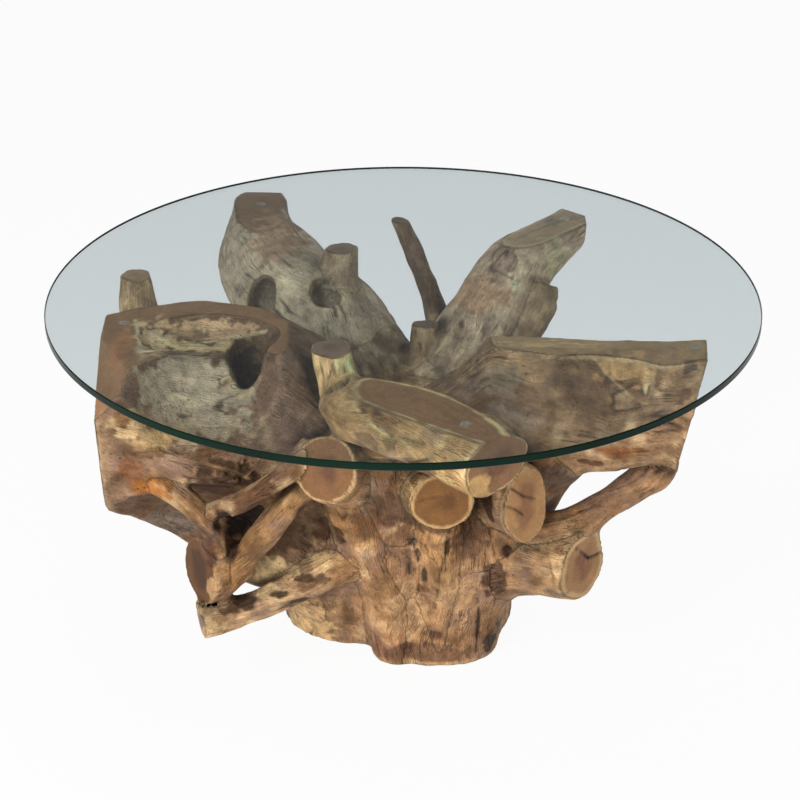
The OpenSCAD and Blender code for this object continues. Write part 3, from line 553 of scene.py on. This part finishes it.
# Cracks, rims and strands: what it is, width in mm, colour, how much of it, how deep in mm, and x, y, z
# of its points in mm, one after the other.
STROKES = [
    ("crack across low log", 2.4, "22160F", 0.95, 2, [159, -189, 192, 188, -206, 202, 213, -209, 200,
        231, -191, 175, 249, -171, 172]),
    ("crack up from low log", 1.7, "2C1C12", 0.9, 1.2, [213, -209, 203, 221, -201, 212, 228, -200, 227]),
    ("tall log crack", 1.4, "3A2416", 0.9, 0.8, [129, -248, 306, 144, -246, 294, 158, -243, 289]),
    ("tall log lower crack", 1.4, "3A2416", 0.9, 0.8, [119, -255, 287, 134, -253, 280, 143, -251, 272]),
    ("middle log dotted crack", 1.3, "5A3A22", 0.8, 0.4, [7, -274, 299, 24, -275, 306, 45, -271, 308]),
    ("crack at hook's foot", 2.2, "22160F", 0.95, 1.6, [-243, -248, 145, -228, -244, 140]),
    ("crack down branch end", 1.9, "22160F", 0.95, 1.4, [-252, -243, 133, -248, -252, 128,
        -244, -261, 121]),
    ("upright crack, right", 1.7, "3A281C", 0.85, 1.2, [94, -174, 107, 98, -166, 68, 96, -162, 42,
        95, -161, 16]),
    ("upright crack, middle", 2.2, "3A281C", 0.85, 1.6, [40, -181, 95, 43, -191, 126, 45, -200, 155,
        53, -211, 193, 54, -218, 221]),
    ("upright crack, left", 1.7, "5A3E2A", 0.7, 1, [-9, -183, 124, -8, -187, 148, -8, -190, 172,
        -15, -199, 213]),
    ("slab rim", 2.2, "C8B084", 0.7, 0, [81, -130, 407, 96, -132, 427, 117, -132, 438, 136, -130, 438,
        153, -130, 438, 172, -128, 438, 192, -125, 438]),
    ("slab ridge", 2.0, "B89C74", 0.6, 0, [96, -144, 420, 122, -144, 438, 141, -142, 438, 160, -137, 438,
        182, -140, 438, 201, -142, 438, 230, -164, 431, 244, -167, 414, 261, -172, 399, 275, -183, 388,
        293, -194, 384]),
    ("slab groove", 2.2, "715B43", 0.8, 1, [208, -161, 438, 225, -164, 424, 242, -168, 407,
        257, -172, 397, 270, -181, 388]),
    ("slab upright line", 1.6, "BFA884", 0.6, 0, [297, -188, 436, 299, -189, 414, 291, -194, 384]),
    ("knot edge", 1.4, "B89E7A", 0.5, 0, [298, -189, 437, 316, -168, 438, 338, -156, 438]),
    ("heart facet outline", 1.6, "71604E", 0.8, 0, [117, 136, 421, 122, 158, 433, 141, 165, 438,
        151, 141, 428, 144, 120, 411, 117, 134, 420]),
    ("back limb band", 2.6, "867864", 0.8, 0, [148, 184, 438, 177, 220, 438, 211, 249, 438,
        230, 259, 438, 249, 271, 438]),
    ("trough lip", 2.9, "DCCDA0", 0.95, 0, [-332, -68, 438, -324, -111, 436, -315, -159, 438,
        -296, -155, 437, -277, -108, 418, -260, -96, 418, -244, -88, 417, -226, -84, 418, -207, -79, 420,
        -190, -70, 419, -169, -79, 428]),
    ("shade under lip", 1.9, "81653C", 0.8, 0.8, [-312, -176, 438, -287, -169, 437, -262, -113, 417]),
    ("trough upper edge", 1.7, "AA8C5F", 0.7, 0.5, [-332, -65, 438, -302, -72, 436, -283, -61, 434,
        -267, -54, 434, -246, -47, 436, -226, -39, 438]),
    ("crack under burl's rim", 1.7, "3A2618", 0.85, 1, [-351, -240, 395, -341, -242, 380, -332, -242, 380,
        -325, -240, 394]),
    ("edge between arm and burl", 1.9, "C09A6C", 0.7, 0, [-236, -240, 336, -212, -237, 325, -185, -222, 304,
        -156, -263, 324]),
    ("fork strand", 1.7, "C49C70", 0.7, 0, [-303, -251, 318, -286, -257, 311, -272, -262, 301,
        -257, -265, 289, -243, -267, 275, -229, -264, 251]),
    ("fork groove", 1.7, "5A3C28", 0.75, 1, [-305, -248, 332, -291, -251, 323, -276, -254, 313,
        -260, -259, 301, -243, -262, 287]),
    ("diagonal strand", 1.9, "C8A27A", 0.6, 0, [-146, -259, 310, -161, -243, 279, -177, -240, 257,
        -192, -238, 234, -209, -240, 214, -214, -252, 198, -220, -260, 179]),
    ("fold across slab root", 2.4, "DACB8F", 0.7, 0, [-58, -289, 434, -37, -320, 424, -13, -342, 417,
        10, -357, 418]),
    ("pits under slab root", 2.2, "5E523E", 0.7, 1, [-6, -344, 420, 10, -355, 421, 23, -363, 422,
        31, -376, 409]),
    ("low log pith", 1.4, "8A6240", 0.5, 0, [224, -200, 169, 233, -191, 157, 243, -179, 157]),
    ("seam at low log's neck", 1.7, "6E4E36", 0.8, 0.8, [180, -217, 184, 184, -226, 172, 194, -233, 157]),
    ("strut seam", 2.2, "4A3222", 0.7, 1, [192, -196, 233, 218, -195, 244, 242, -190, 250]),
]
CORE, FADED = 0.74, 1.08      # a blotch is whole to here and gone from there, in its half sizes
MARGIN, SOFT_EDGE, FADE = 0.006, 0.0022, 0.0020      # round a stroke: looked at, painted, and fading
ragged = noise(co / 0.018 + 11) * 0.60 + noise(co / 0.007 + 3) * 0.35
marked = np.zeros((len(co), 4))               # colour of the marks, and how much of it
sunk = np.zeros(len(co))


def mark(rows, share, colour, deep=0):
    """Lays one colour over the marks so far, and sinks the surface."""
    have = marked[rows, 3]
    all_of = have + share - have * share
    part = np.where(all_of > 0, share / np.maximum(all_of, 1e-9), 0)[:, None]
    marked[rows, :3] = marked[rows, :3] * (1 - part) + linear(colour) * part
    marked[rows, 3] = all_of
    sunk[rows] += share * deep / 1000


for _, x, y, z, half_x, half_y, half_z, colour, amount, *deep in BLOTCHES:
    middle, half = np.array([x, y, z]) / 1000, np.array([half_x, half_y, half_z]) / 1000
    rows = np.nonzero((np.abs(co - middle) < half * 1.7).all(1))[0]
    out = np.linalg.norm((co[rows] - middle) / half, axis=1) + ragged[rows]
    mark(rows, amount * (1 - step(CORE, FADED, out)), colour, *deep)
for _, wide, colour, amount, deep, points in STROKES:
    points = np.reshape(points, (-1, 3)) / 1000
    for a, b in zip(points[:-1], points[1:]):
        rows = np.nonzero(((co > np.minimum(a, b) - MARGIN) & (co < np.maximum(a, b) + MARGIN)).all(1))[0]
        way = np.clip((co[rows] - a) @ (b - a) / ((b - a) @ (b - a)), 0, 1)[:, None]
        out = np.linalg.norm(co[rows] - a - way * (b - a), axis=1) + 0.0015 * ragged[rows]
        share = np.clip((wide / 2000 + SOFT_EDGE - out) / FADE, 0, 1)
        share *= np.clip(0.70 + 1.6 * ragged[rows], 0, 1)
        mark(rows, amount * share, colour, deep)

# Relief of the grown surface, which stays inside the part's box
DEEPEST = 0.004       # the most that marks sink it
BOX_LOW, BOX_HIGH = [-0.3772, -0.4060, 0], [0.3762, 0.3612, SEAT]
natural = 1 - sawn
lumps = noise(co / 0.070) * 0.0030 + noise(co / 0.026 + 9) * 0.0016
streak = noise(grain / [0.010, 0.010, 0.085] + 3)
strand = noise(grain / [0.017, 0.017, 0.170] + 61)
groove = noise(grain / [0.016, 0.016, 0.150] + 21)
fissure = (1 - step(0.02, 0.12, np.abs(groove))) * step(0.10, 0.40, noise(co / 0.055 + 40))
relief = natural * (lumps + lone * (0.0008 * streak + 0.0012 * strand - 0.0018 * fissure))
relief -= np.minimum(sunk, DEEPEST)
spot = np.clip(co + normals * relief[:, None], BOX_LOW, BOX_HIGH)
normals = mesh_normals(spot, faces)

# Colour of the wood
# The near black is for the real dark fissures and for painted shade in narrow creases.
PALE, BROWN, GREY, CRACK_AND_SHADE_DARK = linear("E6CB9C"), linear("7E5637"), linear("96796A"), linear("2C1C13")
# Sawn faces: colour of the rim, its width in mm, colour of the wood, colour of the heart.
FACES = dict(left_log=("D0AA7A", 3, "7C5430", "613E24"), middle_log=("C49C6A", 5, "7C5632", "624228"),
    tall_log=("B8946A", 3, "A17A52", "866044"), low_log=("CBA676", 8, "A97F56", "83593E"),
    centre_slab=("DCC08E", 3.0, "916A4A", "78543C"), hook=("8A623E", 2, "5E3D22", "452B16"),
    branch=("CBAA74", 3, "B08A5A", "8A6844"), post=("C9AE80", 1.5, "8E7260", "7E6454"),
    left_burl=("B69468", 1.5, "956F50", "805D46"), slab=("C4A67C", 3, "AE8C68", "96745A"),
    back_left=("A98868", 2, "94735A", "7E604C"), back_right=("CFB28C", 5, "B89A7C", "8E7868"),
    back_peg=("B99C78", 3, "A78666", "94745C"), knob=("A98C70", 2, "8E745E", "7E6452"),
    thin=("94785C", 1.5, "86694F", "7A5E48"), crown_stub=("8A7058", 2, "7C6450", "705A48"))
PLAIN_FACE = ("D2AE7A", 4, "A9794C", "865838")
TRUNK_TONE, TRUNK_CALM, TRUNK_GIRTH = "A37C5A", 1.1, 0.1


def by_limb(values):
    """One value a vertex from one value a limb."""
    return np.array(values)[first]


own = np.array([linear(code) for code in [TRUNK_TONE] + [limb["tone"] for limb in LIMBS.values()]])
own = own[first] * (0.5 + 0.5 * lone)[:, None] + own[second] * (0.5 - 0.5 * lone)[:, None]


def mixed(a, b, share):
    return a * (1 - share[:, None]) + b * share[:, None]


broad = noise(co / 0.055 + 70)
mottle = noise(grain / [0.022, 0.022, 0.070] + 55)
small = noise(grain / [0.009, 0.009, 0.030] + 17)
cloud = noise(co / 0.028 + 44) + 0.6 * noise(co / 0.012 + 29)
calm = by_limb([TRUNK_CALM] + [limb.get("calm", 1.0) for limb in LIMBS.values()])
tone = own * np.exp(calm * (0.40 * broad + 0.28 * mottle + 0.44 * cloud + 0.18 * small + 0.12 * streak
                            + 0.16 * strand))[:, None]
tone = mixed(tone, PALE, step(0.20, 0.60, 0.5 * mottle + 0.6 * cloud + 0.4 * broad) * 0.38 * calm)
tone = mixed(tone, BROWN, step(0.20, 0.60, -0.5 * mottle - 0.6 * cloud - 0.3 * broad) * 0.50 * calm)
tone = mixed(tone, GREY, step(0.0, 0.5, noise(co / 0.042 + 120) + 0.5 * noise(co / 0.013 + 130)) * 0.45)
plates = [FACES.get(name, PLAIN_FACE) for name in NAMES]
rim_wide = by_limb([p[1] / 1000 for p in plates])
rim_tone, wood_tone, heart_tone = [by_limb([linear(p[k]) for p in plates]) for k in (0, 2, 3)]
girth = by_limb([TRUNK_GIRTH] + [min(limb["mean"]) for limb in LIMBS.values()])
inward = depth + 0.0015 * noise(co / 0.012 + 5)
rim = 1 - step(0.8, 1.35, inward / rim_wide)
heart = step(0.45, 0.85, depth / girth + 0.25 * noise(co / 0.020 + 33))
face_tone = mixed(mixed(wood_tone, heart_tone, heart), rim_tone, rim)
face_tone *= (1 + 0.12 * noise(co / 0.030 + 8))[:, None]
tone = mixed(tone, face_tone, sawn)
tone = mixed(tone, BROWN * 0.5, rotten * 0.5)
tone = mixed(tone, marked[:, :3] * (1 + 0.4 * ragged + 0.3 * streak)[:, None], marked[:, 3])
# Sharp edges paled: partly wear, partly a painted highlight.
tone = mixed(tone, PALE, 0.35 * wear_and_highlight * natural)
# Painted shade: wood in a wide nook is darkened, less where marks lie.
tone *= (1 - 0.40 * nook * natural * (1 - rotten) * (1 - 0.8 * marked[:, 3]))[:, None]
# Painted shade in narrow creases, together with the real dark fissures, goes towards near black.
tone = mixed(tone, CRACK_AND_SHADE_DARK, np.clip(0.85 * crease_shade * natural + 0.75 * fissure * natural * lone, 0, 0.9))
tone = np.clip(tone, 0.008, 0.85)
ring_d = depth + 0.0012 * noise(co / 0.020 + 90)         # what the rings of a sawn face follow


# Meshes
def closed_mesh(name, points, quads, tris):
    """A smooth mesh of four-sided and three-sided faces."""
    mesh = bpy.data.meshes.new(name)
    mesh.from_pydata(points, [], quads.tolist() + tris.tolist())
    mesh.shade_smooth()
    return mesh


HUB_SINK = 0.006      # how deep in the wood the middle of a closed opening lies


def wood_piece(node):
    """The faces that belong to one root of the part, with the shared skin's normals. Each opening, where
    it joins its neighbours, is closed by a fan to the middle of its edge, sunk into the wood."""
    mine = faces[np.isin(first[faces[:, 0]], [j for j, name in enumerate(NAMES) if NODE_OF[name] == node])]
    used, local = np.unique(mine, return_inverse=True)
    local = local.reshape(-1, 4)
    a, b = local.ravel(), np.roll(local, -1, 1).ravel()
    n = len(used)
    open_edge = ~np.isin(a * n + b, b * n + a)
    a, b = a[open_edge], b[open_edge]
    group = np.arange(n)
    while True:
        before = group.copy()
        low = np.minimum(group[a], group[b])
        np.minimum.at(group, a, low)
        np.minimum.at(group, b, low)
        group = group[group]
        if (group == before).all():
            break
    hub_of = np.unique(group[a], return_inverse=True)[1]
    count = np.bincount(hub_of)

    def with_hubs(values, more=0):
        """Values at the vertices, then the mean along each opening's edge, where more is added first."""
        edge = (values[used[a]] + more).reshape(len(a), -1)
        mean = np.stack([np.bincount(hub_of, column) / count for column in edge.T], 1)
        return np.vstack([values[used].reshape(n, -1), mean])

    fans = np.stack([b, a, n + hub_of], 1)
    mesh = closed_mesh(node + "_wood", with_hubs(spot, -HUB_SINK * normals[used[a]]), local, fans)
    for name, kind, field, values in (("tone", "FLOAT_COLOR", "color", np.c_[tone, np.ones(len(tone))]),
                                      ("grain", "FLOAT_VECTOR", "vector", grain),
                                      ("sawn", "FLOAT", "value", sawn), ("ring", "FLOAT", "value", ring_d)):
        data = mesh.attributes.new(name, kind, "POINT").data
        data.foreach_set(field, with_hubs(values).astype(np.float32).ravel())
    mesh.normals_split_custom_set_from_vertices(unit(with_hubs(normals) + 1e-9).tolist())
    mesh.materials.append(MATERIAL[SLOT[node]])
    piece = placed(node + "_wood", mesh)
    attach(piece, "root_base")
    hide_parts(node)


# Materials
def put(tree, kind, inputs=None, **settings):
    """Adds a shader node, with its settings. An input is set to a value, or linked from a socket or from
    another node's first output."""
    node = tree.nodes.new("ShaderNode" + kind)
    for key, value in settings.items():
        setattr(node, key, value)
    for key, value in (inputs or {}).items():
        if isinstance(value, bpy.types.Node):
            value = value.outputs[0]
        if isinstance(value, bpy.types.NodeSocket):
            tree.links.new(value, node.inputs[key])
        else:
            node.inputs[key].default_value = value
    return node


def shade(owner, kind, draw):
    """Gives a material or a world the shader that draw adds to its tree."""
    owner.use_nodes = True
    owner.node_tree.nodes.clear()
    put(owner.node_tree, kind, {"Surface": draw(owner.node_tree)})
    return owner


def material(name, draw):
    return shade(bpy.data.materials.new(name), "OutputMaterial", draw)


def maths(t, how, *values, **settings):
    return put(t, "Math", dict(enumerate(values)), operation=how, **settings)


def grit(t, scale, detail=2.0, rough=0.5):
    """Noise on the part's own coordinates, with scale features to a metre."""
    place = put(t, "TexCoord").outputs["Object"]
    return put(t, "TexNoise", {"Vector": place, "Scale": scale, "Detail": detail,
                               "Roughness": rough}).outputs["Fac"]


def span(t, value, to_low, to_high, low=0.32, high=0.68):
    """A value taken from the span low to high, where most noise lies, to another, and held at its ends."""
    return put(t, "MapRange", {"Value": value, "From Min": low, "From Max": high,
                               "To Min": to_low, "To Max": to_high})


def two_tone(t, share, low, high):
    """A colour between two hex colours."""
    mix = put(t, "Mix", {0: share, 6: (*linear(low), 1), 7: (*linear(high), 1)}, data_type="RGBA")
    return mix.outputs[2]


def teak(t, sheen_of_faces, lively=1.0):
    """Teak root wood: tone from the skin; with the grain, streaks 4 mm and 1.3 mm across and dark
    checks up to 1 mm wide; pits 2 mm across; on sawn faces, rings 3.2 mm apart. Lively is how strongly
    the streaks show."""
    tone_in, grain_in, sawn_in, ring_in = [
        put(t, "Attribute", attribute_name=name).outputs[out]
        for name, out in (("tone", "Color"), ("grain", "Vector"), ("sawn", "Fac"), ("ring", "Fac"))]

    def along(a, b, detail):
        """Noise drawn out along the grain: a across it and b along it, in metres."""
        drawn = put(t, "VectorMath", {0: grain_in, 1: (1 / a, 1 / a, 1 / b)}, operation="MULTIPLY")
        return put(t, "TexNoise", {"Vector": drawn, "Scale": 1.0, "Detail": detail,
                                   "Roughness": 0.6}).outputs["Fac"]

    def by(a, b):
        return maths(t, "MULTIPLY", a, b)

    def plus(a, b):
        return maths(t, "ADD", a, b)

    streaks, fibres, splits = along(0.0042, 0.060, 3.0), along(0.0013, 0.018, 2.0), along(0.0095, 0.130, 2.0)
    specks, patches, clouds = grit(t, 320.0, 3.0, 0.7), grit(t, 22.0), grit(t, 75.0, 4.0, 0.65)
    grown = by(span(t, streaks, 1 - 0.24 * lively, 1 + 0.18 * lively),
               span(t, fibres, 1 - 0.15 * lively, 1 + 0.12 * lively))
    grown = by(by(grown, span(t, clouds, 0.68, 1.26)), span(t, specks, 0.84, 1.14, 0.30, 0.70))
    check = span(t, maths(t, "ABSOLUTE", maths(t, "SUBTRACT", splits, 0.5)), 1.0, 0.0, 0.004, 0.020)
    check = by(check, span(t, patches, 0.0, 1.0, 0.52, 0.64))
    grown = by(grown, span(t, check, 1.0, 0.58, 0.0, 1.0))
    place = put(t, "TexCoord").outputs["Object"]
    cells = put(t, "TexVoronoi", {"Vector": place, "Scale": 150.0}).outputs["Distance"]
    pits = by(span(t, cells, 1.0, 0.0, 0.10, 0.30), span(t, patches, 1.0, 0.0, 0.34, 0.44))
    grown = by(grown, span(t, pits, 1.0, 0.55, 0.0, 1.0))
    turns = plus(by(ring_in, 2 * np.pi / 0.0032), by(clouds, 7.0))
    rings = span(t, maths(t, "SINE", turns), 1.02, 0.90, -0.2, 1.0)
    cut_face = by(by(rings, span(t, specks, 0.88, 1.10, 0.30, 0.70)), span(t, clouds, 0.86, 1.12))
    both = put(t, "Mix", {0: sawn_in, 2: grown, 3: cut_face})
    colour = put(t, "VectorMath", {0: tone_in, 3: both}, operation="SCALE")
    height = plus(plus(streaks, fibres), plus(clouds, by(specks, 0.3)))
    height = maths(t, "SUBTRACT", height, plus(check, by(pits, 0.6)))
    height = by(height, span(t, sawn_in, 1.0, 0.12, 0.0, 1.0))
    bump = put(t, "Bump", {"Height": height, "Strength": 0.9, "Distance": 0.0028})
    return put(t, "BsdfPrincipled", {"Base Color": colour, "Normal": bump, "IOR": 1.5,
                                     "Roughness": span(t, sawn_in, 0.56, sheen_of_faces, 0.0, 1.0),
                                     "Specular IOR Level": 0.15})


MATERIAL = {
    # Teak heartwood, sawn across and sanded, then left under a thin clear coat: brown, rings show.
    "sawn_heartwood": material("teak_heartwood_sawn", lambda t: teak(t, 0.40)),
    # Teak sapwood, brushed: pale straw under the missing bark.
    "pale_sapwood": material("teak_sapwood_brushed", lambda t: teak(t, 0.42)),
    # Teak root with the bark blasted off: long furrows and dark fissures.
    "barked_root": material("teak_root_blasted", lambda t: teak(t, 0.45, 0.75)),
    # Teak root weathered in the ground: greyer and duller.
    "weathered_root": material("teak_root_weathered", lambda t: teak(t, 0.48, 0.6)),
}
SLOT = {row["node"]: row["material_slot"] for row in frame["record"]["subparts"]}
NODE_OF = {"trunk": "root_stump", **{name: limb["node"] for name, limb in LIMBS.items()}}
for root in sorted(set(NODE_OF.values())):
    wood_piece(root)


# Glass
def turned_disc():
    """The glass: a profile of radius and height carried round the upright axis, 360 to a turn.
    Its corners are ground off at 45 degrees, and one point closes each face in the middle."""
    flat = GLASS_R - ARRIS
    profile = np.array([[0.15, GLASS_LOW], [0.30, GLASS_LOW], [flat, GLASS_LOW], [GLASS_R, GLASS_LOW + ARRIS],
                        [GLASS_R, GLASS_TOP - ARRIS], [flat, GLASS_TOP], [0.30, GLASS_TOP],
                        [0.15, GLASS_TOP]])
    n, m = 360, len(profile)
    around = np.arange(n)
    after = (around + 1) % n
    turn = around * 2 * np.pi / n
    ring = np.stack([np.outer(profile[:, 0], np.cos(turn)), np.outer(profile[:, 0], np.sin(turn)),
                     np.repeat(profile[:, 1:], n, 1)], -1).reshape(-1, 3)
    points = np.vstack([ring, [[0, 0, GLASS_LOW], [0, 0, GLASS_TOP]]])
    row = np.arange(m - 1)[:, None] * n
    quads = np.stack([row + around, row + after, row + n + after, row + n + around], -1).reshape(-1, 4)
    upper = (m - 1) * n
    fans = np.vstack([np.stack([after, around, np.full(n, m * n)], 1),
                      np.stack([upper + around, upper + after, np.full(n, m * n + 1)], 1)])
    mesh = closed_mesh("glass_disc", points, quads, fans)
    band = np.r_[np.repeat(np.arange(m - 1), n), np.full(2 * n, -1)]
    edge = (band >= 2) & (band <= 4)      # the upright band and the two ground corners
    mesh.polygons.foreach_set("material_index", edge.astype(np.int32))
    pairs = np.zeros(len(mesh.edges) * 2, int)
    mesh.edges.foreach_get("vertices", pairs)
    rows = pairs.reshape(-1, 2) // n
    sharp = (rows[:, 0] == rows[:, 1]) & (rows[:, 0] >= 2) & (rows[:, 0] <= 5)
    mesh.attributes.new("sharp_edge", "BOOLEAN", "EDGE").data.foreach_set("value", sharp)
    return mesh


def float_glass(t):
    """Float glass, flat and clear: nearly colourless over a short way, with a soft green-grey cast."""
    sheet = put(t, "BsdfPrincipled", {"Base Color": (0.737, 0.803, 0.822, 1), "Roughness": 0.0, "IOR": 1.52,
                                      "Transmission Weight": 1.0, "Specular IOR Level": 0.08})
    clear = put(t, "BsdfTransparent", {"Color": (0.86, 0.90, 0.89, 1)})
    return put(t, "MixShader", {0: put(t, "LightPath").outputs["Is Shadow Ray"], 1: sheet, 2: clear})


def glass_edge(t):
    """The polished edge of float glass: light that ran the long way through comes out dark green."""
    return put(t, "BsdfPrincipled", {"Base Color": two_tone(t, grit(t, 9.0), "04120C", "0B271B"),
                                     "Roughness": 0.25, "IOR": 1.52, "Specular IOR Level": 0.1})


disc = placed("glass_disc", turned_disc())
disc.data.materials.append(material("float_glass_clear", float_glass))
disc.data.materials.append(material("float_glass_polished_edge", glass_edge))
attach(disc, "loose_glass")
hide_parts("glass_top")


def silicone(t):
    """Clear silicone pads, cast: pressed between wood and glass they let nearly all light through."""
    body = put(t, "BsdfPrincipled", {"Base Color": (0.80, 0.82, 0.80, 1), "IOR": 1.41,
                                     "Roughness": span(t, grit(t, 400.0), 0.15, 0.35, 0.0, 1.0)})
    clear = put(t, "BsdfTransparent", {"Color": (0.92, 0.94, 0.92, 1)})
    return put(t, "MixShader", {0: 0.12, 1: clear, 2: body})


def dowel_wood(t):
    """Beech dowels, turned: even pale brown with fine pores along the pin."""
    return put(t, "BsdfPrincipled", {"Base Color": two_tone(t, grit(t, 700.0), "B78F58", "D6B780"),
                                     "Roughness": 0.6})


for node, made in (("glass_pads", material("silicone_cast_clear", silicone)),
                   ("joint_dowels", material("beech_turned", dowel_wood))):
    frame["nodes"][node].data.materials.clear()
    frame["nodes"][node].data.materials.append(made)

# Studio
WHITE = (1, 1, 1, 1)
FLOOR_GLOW = 0.94     # how much of the floor's look is even white, and not paper with shadows on it
ROOM, BACKDROP, CEILING = 0.28, 1.0, 0.12      # strengths of the world's light


def studio_paper(t):
    """White paper to the lamps, and nearly even white to whatever looks at it."""
    seen = put(t, "LightPath").outputs
    look = maths(t, "MAXIMUM", seen["Is Camera Ray"], seen["Is Glossy Ray"])
    look = maths(t, "MAXIMUM", look, seen["Is Transmission Ray"])
    # Light that comes off the wood and up through the sheet is no look at the backdrop.
    look = maths(t, "SUBTRACT", look, seen["Diffuse Depth"], use_clamp=True)
    paper = put(t, "BsdfDiffuse", {"Color": (0.80, 0.80, 0.80, 1)})
    white = put(t, "Emission", {"Color": WHITE, "Strength": 1.0})
    return put(t, "MixShader", {0: maths(t, "MULTIPLY", look, FLOOR_GLOW), 1: paper, 2: white})


def studio_room(t):
    """A white backdrop to the eye, also through the sheet, and a soft room to the wood."""
    def light(strength):
        return put(t, "Background", {"Color": WHITE, "Strength": strength})

    seen = put(t, "LightPath").outputs
    look = maths(t, "MAXIMUM", seen["Is Camera Ray"], seen["Is Transmission Ray"])
    # Neither light off the wood, nor what the sheet mirrors inside itself: both get the soft room.
    turned = maths(t, "ADD", seen["Diffuse Depth"], seen["Glossy Depth"])
    look = maths(t, "SUBTRACT", look, turned, use_clamp=True)
    # Mirror images in the sheet show the white backdrop up to 4 degrees high, and the dim ceiling over it.
    height = put(t, "SeparateXYZ", {0: put(t, "TexCoord").outputs["Generated"]}).outputs["Z"]
    mirrored = light(span(t, height, BACKDROP, CEILING, 0.07, 0.33))
    room = put(t, "MixShader", {0: seen["Is Glossy Ray"], 1: light(ROOM), 2: mirrored})
    return put(t, "MixShader", {0: look, 1: room, 2: light(BACKDROP)})


ground = bpy.data.meshes.new("studio_floor")
ground.from_pydata([(-6, -6, 0), (6, -6, 0), (6, 9, 0), (-6, 9, 0)], [], [(0, 1, 2, 3)])
ground.materials.append(material("studio_paper", studio_paper))
floor = placed("studio_floor", ground)
bpy.context.scene.world = shade(bpy.data.worlds.new("studio"), "OutputWorld", studio_room)

# Square lamps: name, place, size in metres, power in watts, and whether the sheet mirrors it.
AIM = (0, 0, 0.2)
for name, place, size, power, mirrored in (("key_box", (-1.5, -2.1, 2.1), 1.0, 50, True),
                                           ("fill_box", (2.2, -2.0, 1.2), 1.6, 20, True),
                                           ("low_box", (-1.6, -2.8, 0.7), 1.4, 52, True),
                                           ("top_box", (0.2, 0.8, 3.0), 2.0, 22, False)):
    lamp = bpy.data.lights.new(name, "AREA")
    lamp.size, lamp.energy = size, power
    box = placed(name, lamp)
    box.location = place
    back = unit(np.subtract(place, AIM))
    box.rotation_euler = (np.arccos(back[2]), 0, np.arctan2(back[1], back[0]) + np.pi / 2)
    box.visible_glossy = box.visible_transmission = mirrored
